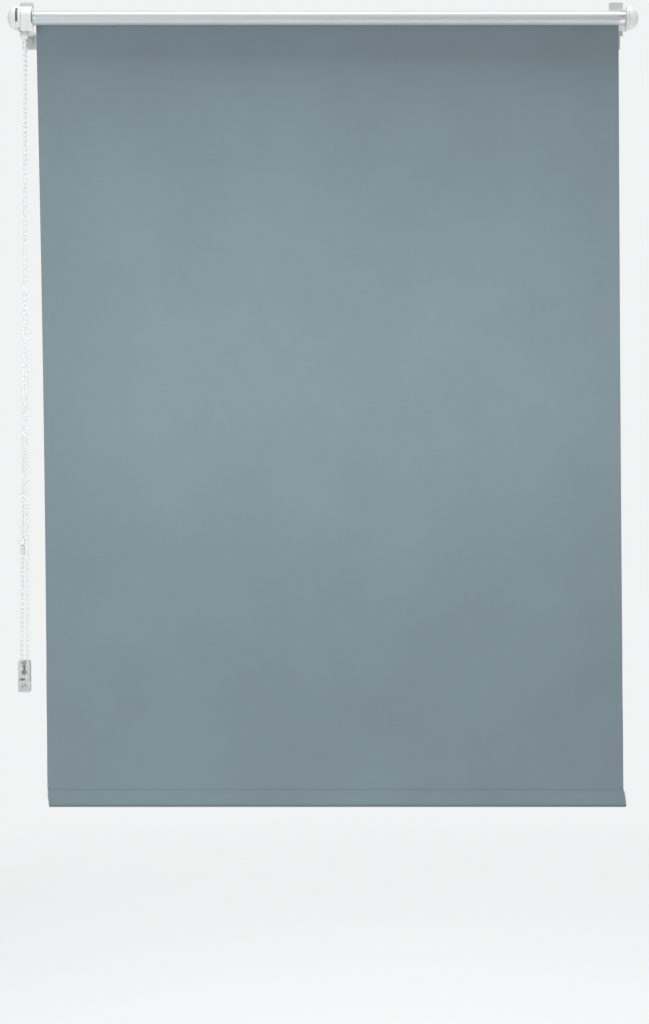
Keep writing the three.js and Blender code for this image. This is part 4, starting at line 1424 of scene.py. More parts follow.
@dataclass
class Drive:
    """The drum round the chain wheel, its plate, the guide in its mouth and the ribbed guard."""

    radius: float = 14.5
    wall: float = 2.1
    inner_wall: float = 4.8
    hub: float = 4.95
    spindle: float = 3.3
    ring_radius: float = 8.0
    ring_width: float = 1.2
    ring_depth: float = 0.5
    seam_depth: float = 0.35
    seam_half: float = 0.3
    seam_below: float = 20.0
    seam_above: float = 4.0
    guide_corner: float = 1.5
    eye: float = 3.2
    eye_aside: float = 7.3
    eye_flare: float = 0.8
    eye_land: float = 0.3
    guard_corner: float = 0.8
    ribs: int = 2
    rib_height: float = 0.8
    rib_half: float = 0.75
    rib_corner: float = 0.5
    rib_bottom: float = 0.2
    rib_top: float = 1.5

    def outline(self, radius: float, back: float, bottom: float) -> Outline:
        """Lists the drum's outline, round over the wheel and straight down to its mouth.

        Args:
            radius: the round part's radius.
            back: the flat back's place.
            bottom: the mouth's place.

        Returns:
            The outline in Y and Z.
        """
        y, z = TUBE_AXIS
        return [(back, bottom), (back, z + radius), *arc((y, z), radius, math.pi / 2, math.pi, 28),
                (y - radius, bottom)]

    def drum(self) -> Piece:
        """Makes the drum, hollow and open at the left, with a ring groove in its right face and a seam.

        Returns:
            The drum.
        """
        box = Box.of("drive_housing")
        inner = box.x1 - self.inner_wall
        drum = prism("drum", self.outline(self.radius, box.y1, box.z0), Axis.X, box.x0, box.x1)
        hollow_outline = self.outline(self.radius - self.wall, box.y1 - self.wall, box.z0 - OVERRUN)
        hollow = prism("hollow", hollow_outline, Axis.X, box.x0 - OVERRUN, inner)
        hub = rod(Axis.X, inner - OVERRUN, box.x1 + OVERRUN, self.hub, TUBE_AXIS, 64)
        combine(drum, Blend.CUT, hollow, hub)
        floor, past = box.x1 - self.ring_depth, box.x1 + OVERRUN
        inside, outside = self.ring_radius, self.ring_radius + self.ring_width
        profile = [(floor, inside), (floor, outside), (past, outside), (past, inside), (floor, inside)]
        groove = turned("groove", profile, Axis.X, TUBE_AXIS, 64)
        y, z = TUBE_AXIS
        nose = y - self.radius
        bottom, top = z - self.seam_below, z + self.seam_above
        seam_outline = [(nose - OVERRUN, bottom), (nose + self.seam_depth, bottom),
                        (nose + self.seam_depth, top), (nose - OVERRUN, top)]
        seam = prism("seam", seam_outline, Axis.X, inner - self.seam_half, inner + self.seam_half)
        combine(drum, Blend.CUT, groove, seam)
        return soften(drum, 0.5)

    def plate(self) -> Piece:
        """Makes the plate that closes the drum.

        Returns:
            The plate.
        """
        box = Box.of("drive_plate")
        plate = prism("plate", self.outline(self.radius, box.y1, box.z0), Axis.X, box.x0, box.x1)
        hole = rod(Axis.X, box.x0 - OVERRUN, box.x1 + OVERRUN, self.spindle, TUBE_AXIS)
        combine(plate, Blend.CUT, hole, corner_cutter(box.y0, box.y1))
        return soften(plate, 0.6)

    def guide(self) -> Piece:
        """Makes the plate in the mouth, with a countersunk eye for each strand.

        Returns:
            The guide.
        """
        box = Box.of("chain_guide")
        outline = rounded(box.x0, box.y0, box.x1, box.y1, self.guide_corner)
        guide = prism("guide", outline, Axis.Z, box.z0, box.z1)
        middle = (box.z0 + box.z1) / 2
        below, above, mouth = box.z0 - OVERRUN / 2, box.z1 + OVERRUN / 2, self.eye + self.eye_flare
        profile = [(below, 0.0), (below, mouth), (middle - self.eye_land, self.eye),
                   (middle + self.eye_land, self.eye), (above, mouth), (above, 0.0)]
        eyes = [turned("eye", profile, Axis.Z, (WHEEL_X, TUBE_AXIS[0] + aside), 40)
                for aside in (-self.eye_aside, self.eye_aside)]
        combine(guide, Blend.CUT, *eyes)
        return soften(guide, 0.25, 2)

    def guard(self) -> Piece:
        """Makes the ribbed guard clipped on the mouth's front.

        Returns:
            The guard.
        """
        box = Box.of("chain_guard")
        outline = rounded(box.x0, box.z0, box.x1, box.z1, self.guard_corner)
        guard = prism("guard", outline, Axis.Y, box.y0 + self.rib_height, box.y1)
        ribs = []
        space = (box.x1 - box.x0) / self.ribs
        for i in range(self.ribs):
            x = box.x0 + space * (i + 0.5)
            rib = rounded(x - self.rib_half, box.z0 + self.rib_bottom, x + self.rib_half,
                          box.z1 - self.rib_top, self.rib_corner)
            ribs.append(prism("rib", rib, Axis.Y, box.y0, box.y0 + 2 * self.rib_height))
        combine(guard, Blend.JOIN, *ribs)
        return soften(guard, 0.22, 2)

    def build(self, finishes: Finishes) -> None:
        """Builds and dresses the drive's outer pieces.

        Args:
            finishes: the materials.
        """
        for make, name, node in ((self.drum, "drive_drum", "drive_housing"),
                                 (self.plate, "drive_side", "drive_plate"),
                                 (self.guide, "chain_eyes", "chain_guide"),
                                 (self.guard, "chain_guard_ribbed", "chain_guard")):
            finish_piece(make(), name, Body.ROOT, finishes.white, (node,))


# Roller


@dataclass
class Roller:
    """The tube with its groove, and the last turn of cloth on it."""

    radius: float = 8.5
    wall: float = 0.8
    groove_angle: float = FULL_TURN * 0.92
    groove_width: float = 2.6
    groove_depth: float = 2.4
    groove_sunk: float = 0.3
    cloth_gap: float = 0.2
    cloth: float = 0.35
    cloth_steps: int = 96
    cloth_rows: int = 60
    wrinkle: float = 0.05
    wrinkle_along: float = 0.03
    wrinkle_around: float = 2.2

    def groove_outline(self, half: float, inner: float, outer: float) -> Outline:
        """Lists a rectangle that stands on a radius at the groove's angle.

        Args:
            half: half its width.
            inner: its place nearest the axis.
            outer: its place furthest from the axis.

        Returns:
            The outline in Y and Z.
        """
        cos, sin = math.cos(self.groove_angle), math.sin(self.groove_angle)
        y, z = TUBE_AXIS
        corners = [(inner, -half), (outer, -half), (outer, half), (inner, half)]
        return [(y + a * cos - b * sin, z + a * sin + b * cos) for a, b in corners]

    def tube(self) -> Piece:
        """Makes the extruded tube.

        Returns:
            The tube.
        """
        box = Box.of("roller_tube")
        floor = self.radius - self.groove_depth
        tube = rod(Axis.X, box.x0, box.x1, self.radius, TUBE_AXIS, 96)
        walls = self.groove_outline(self.groove_width / 2 + self.wall, floor - self.wall,
                                    self.radius - self.groove_sunk)
        channel = prism("channel", walls, Axis.X, box.x0, box.x1)
        low, high = box.x0 - OVERRUN, box.x1 + OVERRUN
        combine(tube, Blend.CUT, rod(Axis.X, low, high, self.radius - self.wall, TUBE_AXIS, 96))
        combine(tube, Blend.JOIN, channel)
        slot = self.groove_outline(self.groove_width / 2, floor, self.radius + OVERRUN)
        combine(tube, Blend.CUT, prism("groove", slot, Axis.X, low, high))
        return smooth(tube)

    def last_turn(self) -> Piece:
        """Makes the turn of cloth that covers the tube and its groove, silver outside, faintly uneven.

        Returns:
            The turn of cloth.
        """
        box = Box.of("fabric_roll")
        inner = self.radius + self.cloth_gap
        outer = inner + self.cloth
        around, along = self.cloth_steps, self.cloth_rows
        y, z = TUBE_AXIS
        points, faces = [], []
        for i in range(along + 1):
            x = box.x0 + (box.x1 - box.x0) * i / along
            for radius in (inner, outer):
                for j in range(around + 1):
                    angle = FULL_TURN * j / around
                    cos, sin = math.cos(angle), math.sin(angle)
                    bend = self.wrinkle_around
                    spot = Vector((x * self.wrinkle_along, bend * cos, bend * sin))
                    reach = radius + self.wrinkle * noise.noise(spot)
                    points.append((x, y + reach * cos, z + reach * sin))
        ring = 2 * (around + 1)
        for i in range(along):
            a, b = i * ring, (i + 1) * ring
            for layer in (0, around + 1):
                faces += [(a + layer + j, a + layer + j + 1, b + layer + j + 1, b + layer + j)
                          for j in range(around)]
        for base in (0, along * ring):
            faces += [(base + j, base + j + 1, base + j + around + 2, base + j + around + 1)
                      for j in range(around)]
        return smooth(new_piece("turn", points, faces), 50)

    def build(self, finishes: Finishes) -> None:
        """Builds and dresses the roller.

        Args:
            finishes: the materials.
        """
        finish_piece(self.tube(), "tube_extrusion", Body.ROLLER, finishes.aluminium,
                     ("roller_tube",))
        layers = [finishes.silver, finishes.edge]
        turn = finish_piece(self.last_turn(), "rolled_cloth", Body.ROLLER, layers,
                            ("fabric_roll",))
        for face in turn.data.polygons:
            face.material_index = 1 if abs(face.normal.x) > 0.7 else 0


@dataclass
class Idler:
    """The sprung end's round wire spring."""

    wire: float = 0.6
    curls: int = 5
    travel: float = 7.2
    steps: int = 28
    sides: int = 10

    def spring(self) -> Piece:
        """Makes the round wire spring.

        Returns:
            The spring.
        """
        box = Box.of("idler_spring")
        reach = (box.y1 - box.y0 - self.wire) / 2
        start, end = box.x0 + self.wire / 2, box.x1 - self.wire / 2
        count = self.curls * self.steps
        y, z = TUBE_AXIS
        points, faces = [], []
        for i in range(count + 1):
            turn = FULL_TURN * i / self.steps
            along = start + (end - start) * i / count
            for j in range(self.sides):
                angle = FULL_TURN * j / self.sides
                radius = reach + self.wire / 2 * math.cos(angle)
                points.append((along + self.wire / 2 * math.sin(angle), y + radius * math.cos(turn),
                               z + radius * math.sin(turn)))
        for i in range(count):
            faces += band(i * self.sides, (i + 1) * self.sides, self.sides)
        faces += [tuple(range(self.sides)), tuple(range(count * self.sides, (count + 1) * self.sides))]
        return smooth(new_piece("spring", points, faces), 60)

    def build(self, finishes: Finishes) -> None:
        """Builds and dresses the spring.

        Args:
            finishes: the materials.
        """
        box = Box.of("idler_spring")
        spring = finish_piece(self.spring(), "idler_coil", Body.ROLLER, finishes.steel,
                              ("idler_spring",))
        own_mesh(spring)


# Cloth and hem


@dataclass
class Cloth:
    """The hanging cloth with its hem, bar and clips."""

    width: float = 750.0
    thickness: float = 0.35
    skew: float = 10.7
    curl_depth: float = 5.0
    curl_width: float = 46.0
    draw_in: float = 1.6
    wave_depth: float = 2.4
    wave_length: float = 210.0
    wave_slope: float = 1.6
    wave_start: float = 0.78
    flat_start: float = 0.98
    columns: int = 120
    rows: int = 130
    left: float = -377.5
    sheet_y: float = -10.125
    top: float = 15.4
    bottom: float = -981.0
    ripple: float = 0.5
    ripple_width: float = 120.0
    ripple_height: float = 520.0
    clear: float = 0.42
    clear_share: float = 0.0075
    lift: float = 0.97
    hem_steps: int = 90
    hem_extra: float = 2.2
    hem_slant: float = 2.2
    hem_seam: float = 0.24
    hem_overlap: float = 0.35
    hem_lap: float = 2.2
    hem_draw: float = 5.0
    hem_draw_steps: int = 8
    hem_seam_height: float = 1.5
    pinch: float = 0.1
    pinch_length: float = 26.0
    bar_thickness: float = 3.0
    bar_height: float = 14.0
    bar_edge: float = 5.0
    bar_bevel: float = 0.4
    bar_groove: float = 0.3
    clip_plate: float = 0.8
    clip_seam: float = 0.3
    clip_play: float = 0.3

    def point(self, across: float, down: float) -> Point:
        """Gives the cloth's middle surface at a share of its width and length.

        Args:
            across: share of the width from the left.
            down: share of the length from the top.

        Returns:
            The point.
        """
        belly = math.sin(math.pi * min(down / self.flat_start, 1.0))
        middle = self.left + self.width / 2 + self.skew * down
        x = middle + (2 * across - 1) * self.width / 2 + self.draw_in * belly * (1 - across)
        edge = (1 - abs(2 * across - 1)) * self.width / 2
        curl = self.curl_depth * belly * math.exp(-((edge / self.curl_width) ** 2))
        low_share = min(max((down - self.wave_start) / (self.flat_start - self.wave_start), 0), 1)
        z = self.top + (self.bottom - self.top) * down
        phase = FULL_TURN * (x - self.wave_slope * z) / self.wave_length
        wave = self.wave_depth / 2 * math.sin(math.pi * low_share) * math.sin(phase)
        loose = max(belly, 0.0) ** 0.5
        spot = Vector((x / self.ripple_width, 0.4, z / self.ripple_height))
        ripple = self.ripple * loose * (0.5 + 0.5 * noise.noise(spot))
        clear = self.clear * min(down / self.clear_share, 1.0)
        return x, self.sheet_y + clear + curl + wave + ripple, z

    def sheet(self) -> Piece:
        """Makes the hanging cloth as one closed sheet, front, reverse and cut edges.

        Returns:
            The cloth.
        """
        points, faces, kinds = [], [], []
        wide = self.columns + 1
        for side in (-1, 1):
            for row in range(self.rows + 1):
                for column in range(wide):
                    across = (1 - math.cos(math.pi * column / self.columns)) / 2
                    across = (across + 2 * column / self.columns) / 3
                    x, y, z = self.point(across, row / self.rows)
                    points.append((x, y + side * self.thickness / 2, z))
        layer = wide * (self.rows + 1)
        for row in range(self.rows):
            for column in range(self.columns):
                a = row * wide + column
                faces.append((a, a + wide, a + wide + 1, a + 1))
                faces.append((layer + a, layer + a + 1, layer + a + wide + 1, layer + a + wide))
                kinds += [0, 1]
            for side in (row * wide, row * wide + self.columns):
                faces.append((side, side + layer, side + layer + wide, side + wide))
                kinds.append(2)
        for column in range(self.columns):
            for start in (column, self.rows * wide + column):
                faces.append((start, start + 1, start + 1 + layer, start + layer))
                kinds.append(2)
        sheet = smooth(new_piece("sheet", points, faces), 60)
        sheet.data.polygons.foreach_set("material_index", kinds)
        return sheet

    def hem_profile(self, half: float, bottom: float, top: float, seam: float) -> Outline:
        """Lists the hem's section: round at the bottom and drawn together at the seam.

        Args:
            half: half the pocket's depth.
            bottom: its lowest place.
            top: the seam's top.
            seam: half the seam's thickness.

        Returns:
            The outline in Y and Z.
        """
        y = self.sheet_y
        steps = self.hem_draw_steps
        start = top - self.hem_seam_height - self.hem_draw
        rise = []
        for i in range(steps + 1):
            drawn = 0.5 - 0.5 * math.cos(math.pi * i / steps)
            rise.append((y + half + (seam - half) * drawn, start + self.hem_draw * i / steps))
        fall = [(2 * y - across, high) for across, high in reversed(rise)]
        return [*arc((y, bottom + half), half, math.pi, FULL_TURN, 14), *rise,
                (y + seam, top), (y - seam, top), *fall]

    def hem(self) -> Piece:
        """Makes the hem pocket as a tube of cloth along the bar.

        Returns:
            The hem.
        """
        box = Box.of("hem_pocket")
        bottom, top = box.z0 - self.hem_extra, box.z1 + self.hem_overlap
        half = (box.y1 - box.y0) / 2
        outer = self.hem_profile(half, bottom, top, self.hem_seam)
        inner = self.hem_profile(half - self.thickness, bottom + self.thickness, top - self.hem_lap,
                                 self.hem_seam / 2)
        count = len(outer)
        points, faces, kinds = [], [], []
        for i in range(self.hem_steps + 1):
            x = box.x0 + (box.x1 - box.x0) * i / self.hem_steps
            pinch = self.pinch * noise.noise(Vector((x / self.pinch_length, 3.0, 0.0)))
            for outline in (outer, inner):
                for y, z in outline:
                    share = max(0.0, min(1.0, (z - bottom) / (top - bottom)))
                    points.append((x, y + pinch * math.sin(math.pi * share), z))
        ring = 2 * count
        middle = self.sheet_y + 0.01
        behind = [int(outer[j][0] + outer[(j + 1) % count][0] > 2 * middle) for j in range(count)]
        for i in range(self.hem_steps):
            faces += band(i * ring, (i + 1) * ring, count)
            kinds += behind
            faces += band(i * ring + count, (i + 1) * ring + count, count)
            kinds += [1] * count
        for base in (0, self.hem_steps * ring):
            faces += band(base, base + count, count)
            kinds += [2] * count
        hem = self.slanted(smooth(new_piece("hem", points, faces), 50))
        hem.data.polygons.foreach_set("material_index", kinds)
        return hem

    def slanted(self, piece: Piece) -> Piece:
        """Leans a piece of the hem with the cloth's own slant.

        Args:
            piece: the hem or a clip.

        Returns:
            The same object.
        """
        box = Box.of("hem_pocket")
        for vertex in piece.data.vertices:
            share = (vertex.co.z / MM - box.z0) / (box.z1 - box.z0)
            vertex.co.x -= self.hem_slant * max(share, 0.0) * MM
        return piece

    def bar(self) -> Piece:
        """Makes the flat bar with round edges and a shallow groove on each face.

        Returns:
            The bar.
        """
        box = Box.of("bottom_bar")
        y = self.sheet_y
        half = (box.y1 - box.y0) / 2
        low, high = box.z0 + self.bar_edge, box.z1 - self.bar_edge
        floor, bevel = half - self.bar_groove, self.bar_bevel
        outline = [*arc((y, box.z0 + half), half, math.pi, FULL_TURN, 12),
                   (y + half, low), (y + floor, low + bevel), (y + floor, high - bevel), (y + half, high),
                   *arc((y, box.z1 - half), half, 0, math.pi, 12),
                   (y - half, high), (y - floor, high - bevel), (y - floor, low + bevel), (y - half, low)]
        return smooth(prism("bar", outline, Axis.X, box.x0, box.x1))

    def clip(self, side: Side) -> Piece:
        """Makes the clear clip that closes the hem's end.

        Args:
            side: the hem's end.

        Returns:
            The clip.
        """
        box = Box.of(f"bar_cap_{side.word}")
        y = self.sheet_y
        half = (box.y1 - box.y0) / 2
        end, inner = (box.x0, box.x1) if side is Side.LEFT else (box.x1, box.x0)
        thick = side.value * self.clip_plate
        section = self.hem_profile(half, box.z0 - self.hem_extra, box.z1, self.clip_seam)
        plate = prism("clip", section, Axis.X, *sorted((end, end - thick)))
        bottom = box.z0 + self.thickness + self.clip_play
        stub_half = self.bar_thickness / 2
        stub_outline = [*arc((y, bottom + stub_half), stub_half, math.pi, FULL_TURN, 10),
                        *arc((y, bottom + self.bar_height - stub_half), stub_half, 0, math.pi, 10)]
        stub = prism("stub", stub_outline, Axis.X, *sorted((end - thick / 2, inner)))
        combine(plate, Blend.JOIN, stub)
        return self.slanted(soften(plate, 0.15, 2))

    def build(self, finishes: Finishes) -> None:
        """Builds and dresses the cloth, the hem, the bar and the clips.

        Args:
            finishes: the materials.
        """
        layers = [finishes.cloth, finishes.silver, finishes.edge]
        sheet = finish_piece(self.sheet(), "hanging_cloth", Body.ROOT, layers,
                             ("fabric_sheet",))
        folded = [finishes.hem, finishes.silver, finishes.edge]
        hem = finish_piece(self.hem(), "hem_fold", Body.RAIL, folded, ("hem_pocket",))
        finish_piece(self.bar(), "hem_bar", Body.RAIL, finishes.aluminium, ("bottom_bar",))
        for side in Side:
            finish_piece(self.clip(side), f"hem_clip_{side.word}", Body.RAIL, finishes.clear,
                         (f"bar_cap_{side.word}",))
        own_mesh(sheet)


# Chain


@dataclass
class Chain:
    """The endless bead chain with its stop beads and its connector."""

    pitch_radius: float = 7.639
    guide_radius: float = 3.82
    holder_x: float = -396.2
    holder_y: float = -7.7
    guide_z: float = -830.08
    strand_beads: int = 141
    guide_beads: int = 2
    wheel_beads: int = 4
    bead: float = 2.25
    link: float = 0.55
    sides: int = 16
    stop_bore: float = 2.7
    stop_flat: float = 0.5
    stop_seam: float = 0.12
    stop_steps: int = 32
    connector_bore: float = 2.5
    connector_play: float = 0.1
    connector_edge: float = 0.4
    waist_depth: float = 0.35
    waist_half: float = 1.4
    waist_end: float = 2.2
    split_half: float = 0.25

    def route(self) -> list[Vector]:
        """Lists the beads' middles in order, once round the loop.

        Returns:
            The middles in millimetres.
        """
        y, z = TUBE_AXIS
        front = (Vector((WHEEL_X, y - self.pitch_radius, z)),
                 Vector((self.holder_x + self.guide_radius, self.holder_y, self.guide_z)))
        rear = (Vector((WHEEL_X, y + self.pitch_radius, z)),
                Vector((self.holder_x - self.guide_radius, self.holder_y, self.guide_z)))
        count = self.strand_beads
        beads = [front[0].lerp(front[1], i / count) for i in range(count)]
        for i in range(self.guide_beads):
            angle = -math.pi * i / self.guide_beads
            beads.append(Vector((self.holder_x + self.guide_radius * math.cos(angle), self.holder_y,
                                 self.guide_z + self.guide_radius * math.sin(angle))))
        beads += [rear[1].lerp(rear[0], i / count) for i in range(count)]
        for i in range(self.wheel_beads):
            angle = math.pi * i / self.wheel_beads
            beads.append(Vector((WHEEL_X, y + self.pitch_radius * math.cos(angle),
                                 z + self.pitch_radius * math.sin(angle))))
        return beads

    def loop(self) -> Piece:
        """Makes the chain: a slightly long bead at each place, with a thin cord between beads.

        Returns:
            The chain.
        """
        beads = self.route()
        count = len(beads)
        profile = [(-1.0, 0.3), (-0.82, 0.62), (-0.45, 0.92), (0.0, 1.0), (0.45, 0.92), (0.82, 0.62),
                   (1.0, 0.3)]
        points, rings = [], []
        for i, middle in enumerate(beads):
            along = (beads[(i + 1) % count] - beads[i - 1]).normalized()
            across = Vector((1, 0, 0)) if abs(along.x) < 0.8 else Vector((0, 0, 1))
            across = (across - along * across.dot(along)).normalized()
            other = along.cross(across)
            for place, share in profile:
                ring = []
                radius = max(self.bead * share, self.link)
                for j in range(self.sides):
                    angle = FULL_TURN * j / self.sides
                    out = across * math.cos(angle) + other * math.sin(angle)
                    ring.append(len(points))
                    points.append(tuple(middle + along * (place * self.bead) + out * radius))
                rings.append(ring)
        faces = []
        for i, ring in enumerate(rings):
            following = rings[(i + 1) % len(rings)]
            shift = 0
            if (i + 1) % len(profile) == 0:
                near = Vector(points[ring[0]])
                shift = min(range(self.sides), key=lambda k: (Vector(points[following[k]]) - near).length)
            for j in range(self.sides):
                k = (j + 1) % self.sides
                faces.append((ring[j], ring[k], following[(k + shift) % self.sides],
                              following[(j + shift) % self.sides]))
        return smooth(new_piece("chain", points, faces), 60)

    def stop(self, node: str) -> Piece:
        """Makes a stop bead, a ball in two moulded halves with a bore.

        Args:
            node: the CAD node that it stands for.

        Returns:
            The stop bead.
        """
        box = Box.of(node)
        x, y, z = box.middle
        radius = (box.x1 - box.x0) / 2
        steps = self.stop_steps
        profile = [(z - radius + self.stop_flat, self.stop_bore)]
        for i in range(3, steps - 2):
            angle = math.pi * i / steps - math.pi / 2
            seam = self.stop_seam if i == steps // 2 else 0.0
            ring = radius * math.cos(angle) - seam
            if ring > self.stop_bore + 0.05:
                profile.append((z + radius * math.sin(angle), ring))
        profile.append((z + radius - self.stop_flat, self.stop_bore))
        profile.append(profile[0])
        return smooth(turned("stop", profile, Axis.Z, (x, y), 40), 50)

    def connector(self) -> Piece:
        """Makes the clear snap connector, a barrel with a waist and a split.

        Returns:
            The connector.
        """
        box = Box.of("chain_connector")
        x, y, z = box.middle
        half = (box.z1 - box.z0) / 2
        radius = (box.x1 - box.x0) / 2 - self.connector_play
        inner, waist, edge = self.connector_bore, radius - self.waist_depth, self.connector_edge
        profile = [(z - half, inner), (z - half, radius - edge), (z - half + edge, radius),
                   (z - self.waist_end, radius), (z - self.waist_half, waist),
                   (z + self.waist_half, waist), (z + self.waist_end, radius),
                   (z + half - edge, radius), (z + half, radius - edge), (z + half, inner),
                   (z - half, inner)]
        barrel = turned("connector", profile, Axis.Z, (x, y), 40)
        past = OVERRUN / 2
        split = slab("split", (x - self.split_half, y - radius - past, z - half - past),
                     (x + self.split_half, y, z + half + past))
        combine(barrel, Blend.CUT, split)
        return soften(barrel, 0.1, 1, 40)

    def build(self, finishes: Finishes) -> None:
        """Builds and dresses the chain and what runs on it.

        Args:
            finishes: the materials.
        """
        finish_piece(self.loop(), "bead_loop", Body.ROOT, finishes.bead, ("bead_chain",))
        for place, body in (("front", Body.STOP_FRONT), ("rear", Body.STOP_REAR)):
            node = f"stop_bead_{place}"
            finish_piece(self.stop(node), f"stop_ball_{place}", body, finishes.bead,
                         (node,))
        finish_piece(self.connector(), "chain_clip", Body.STOP_REAR, finishes.frosted,
                     ("chain_connector",))


# Holder


@dataclass
class Holder:
    """The chain's holder: foam pad, base and post, clear cover and screw, with a guide and retainer in
    dark moulding that are painted shade deep inside the holder.
    """

    wall: float = 1.3
    corner: float = 2.2
    base_plate: float = 1.5
    post_root: float = 0.8
    notch_width: float = 9.4
    notch_depth: float = 13.0
    notch_foot: float = 0.7
    notch_shoulder: float = 0.5
    band_drop: float = 6.5
    band_height: float = 1.6
    band_inset: float = 2.6
    band_end: float = 1.3
    band_corner: float = 0.8
    post: float = 1.22
    screw_drop: float = 15.0
    screw_hole: float = 1.7
    screw_boss: float = 3.7
    head_hole: float = 2.7
    eye: float = 1.1
    eye_place: Pair = (4.8, 14.0)
    top_above: float = 18.0
    hole: float = 3.3
    hole_rise: float = 3.0
    disc: float = 4.4
    guide_front: float = 3.2
    guide_back: float = 1.55
    guide_margin: float = 0.4
    stem: Pair = (-2.4, 0.8)
    retainer_width: float = 8.2
    retainer_below: float = 2.4
    retainer_above: float = 5.0
    retainer_depth: float = 0.8
    retainer_front: float = 0.2
    retainer_stem: Pair = (-0.7, 0.5)
    latch: Pair = (-5.6, 1.9)
    latch_half: float = 1.5
    latch_tilt: float = 0.7

    @property
    def post_place(self) -> Pair:
        """The post's place in X and Z, below the cover's top."""
        box = Box.of("holder_cover")
        return box.middle[0], box.z1 - self.top_above

    def base(self) -> Piece:
        """Makes the base plate with the guide post.

        Returns:
            The base.
        """
        x, guide_z = self.post_place
        box = Box.of("holder_base")
        front = box.y1 - self.base_plate
        outline = rounded(box.x0, box.z0, box.x1, box.z1, self.corner, 8)
        base = prism("base", outline, Axis.Y, front, box.y1)
        post = rod(Axis.Y, box.y0, front + self.post_root, self.post, (x, guide_z), 32, 0.3)
        combine(base, Blend.JOIN, post)
        hole = rod(Axis.Y, front - OVERRUN / 2, box.y1 + OVERRUN / 2, self.screw_hole,
                   (x, guide_z - self.screw_drop), 32)
        combine(base, Blend.CUT, hole)
        return soften(base, 0.25, 2)

    def cover(self) -> Piece:
        """Makes the clear cover, open at its top, with its notch, band and eye.

        Returns:
            The cover.
        """
        x, guide_z = self.post_place
        box = Box.of("holder_cover")
        inner = box.y0 + self.wall
        outline = rounded(box.x0, box.z0, box.x1, box.z1, self.corner, 8)
        cover = prism("cover", outline, Axis.Y, box.y0, box.y1)
        room = rounded(box.x0 + self.wall, box.z0 + self.wall, box.x1 - self.wall,
                       box.z1 + 3 * OVERRUN, 1.2, 8)
        combine(cover, Blend.CUT, prism("hollow", room, Axis.Y, inner, box.y1 + OVERRUN))
        screw = (x, guide_z - self.screw_drop)
        combine(cover, Blend.JOIN, rod(Axis.Y, inner - 0.6, box.y1, self.screw_boss, screw, 40))
        front, through = box.y0 - OVERRUN, inner + 0.3
        half, foot = self.notch_width / 2, self.notch_foot
        above, shoulder, floor = box.z1 + OVERRUN, box.z1 - self.notch_shoulder, box.z1 - self.notch_depth
        mouth = [(x - half, above), (x - half, shoulder), (x - foot, floor), (x + foot, floor),
                 (x + half, shoulder), (x + half, above)]
        slot_z = guide_z - self.band_drop
        slot = rounded(box.x0 + self.band_inset, slot_z - self.band_height, x + self.band_end,
                       slot_z + self.band_height, self.band_corner)
        eye_x, eye_z = self.eye_place
        cuts = [rod(Axis.Y, front, box.y1 + OVERRUN, self.screw_hole, screw, 32),
                rod(Axis.Y, front, inner, self.head_hole, screw, 40),
                prism("notch", mouth, Axis.Y, front, through),
                prism("slot", slot, Axis.Y, front, through),
                rod(Axis.Y, front, through, self.eye, (x + eye_x, guide_z + eye_z), 32),
                rod(Axis.Y, front, through, self.hole, (x, guide_z + self.hole_rise), 48)]
        combine(cover, Blend.CUT, *cuts)
        return soften(cover, 0.35, 2)

    def guide(self) -> Piece:
        """Makes the disc behind the beads, with the bar behind the cover's band; their dark moulding is
        painted shade for the holder's shaded inside.

        Returns:
            The disc and its bar.
        """
        x, guide_z = self.post_place
        box = Box.of("holder_base")
        front, back = box.y1 - self.guide_front, box.y1 - self.guide_back
        disc = rod(Axis.Y, front, back, self.disc, (x, guide_z + self.hole_rise - 1), 48, 0.3)
        slot_z = guide_z - self.band_drop
        margin, high = self.guide_margin, self.band_height + self.guide_margin
        outline = rounded(box.x0 + self.band_inset - margin, slot_z - high,
                          x + self.band_end + margin, slot_z + high, self.band_corner)
        bar = prism("bar", outline, Axis.Y, front, back)
        left, right = self.stem
        stem = slab("stem", (x + left, front, slot_z), (x + right, back, guide_z))
        combine(disc, Blend.JOIN, bar, stem)
        post = rod(Axis.Y, front - OVERRUN / 2, back + OVERRUN / 2, self.post + 0.15, (x, guide_z), 32)
        combine(disc, Blend.CUT, post)
        return smooth(disc)

    def retainer(self) -> Piece:
        """Makes the retainer in front of the beads: a plate on the post's end, a stem and a latch; its
        dark moulding is painted shade for the holder's shaded inside.

        Returns:
            The retainer.
        """
        x, guide_z = self.post_place
        front = Box.of("holder_base").y0 + self.retainer_front
        back = front + self.retainer_depth
        half = self.retainer_width / 2
        foot = guide_z - self.retainer_below
        outline = rounded(x - half, foot, x + half, guide_z + self.retainer_above, self.corner)
        plate = prism("retainer", outline, Axis.Y, front, back)
        slot_z = guide_z - self.band_drop
        left, right = self.retainer_stem
        stem = slab("stem", (x + left, front, slot_z), (x + right, back, foot + 0.6))
        tilt, high = self.latch_tilt, self.latch_half
        left, right = self.latch
        latch = prism("latch", [(x + left, slot_z + tilt + high), (x + left, slot_z + tilt - high),
                                (x + right, slot_z - tilt - high), (x + right, slot_z - tilt + high)],
                      Axis.Y, front, back)
        combine(plate, Blend.JOIN, stem, latch)
        post = rod(Axis.Y, front - OVERRUN / 2, back + OVERRUN / 2, self.post + 0.05, (x, guide_z), 32)
        combine(plate, Blend.CUT, post)
        return soften(plate, 0.2, 2)

    def screw(self) -> Piece:
        """Makes the holder's screw with a cross recess in its head.

        Returns:
            The screw.
        """
        box = Box.of("holder_screw")
        x, _, z = box.middle
        head, radius = box.y0, (box.x1 - box.x0) / 2
        profile = [(head + 0.1, 0.0), (head, radius - 0.5), (head + 0.2, radius), (head + 1.0, radius),
                   (head + 1.0, 1.4), (box.y1 - 0.3, 1.4), (box.y1, 1.0), (box.y1, 0.0)]
        return cross_recess(turned("screw", profile, Axis.Y, (x, z), 40), box, 1.5, 0.3, 0.7)

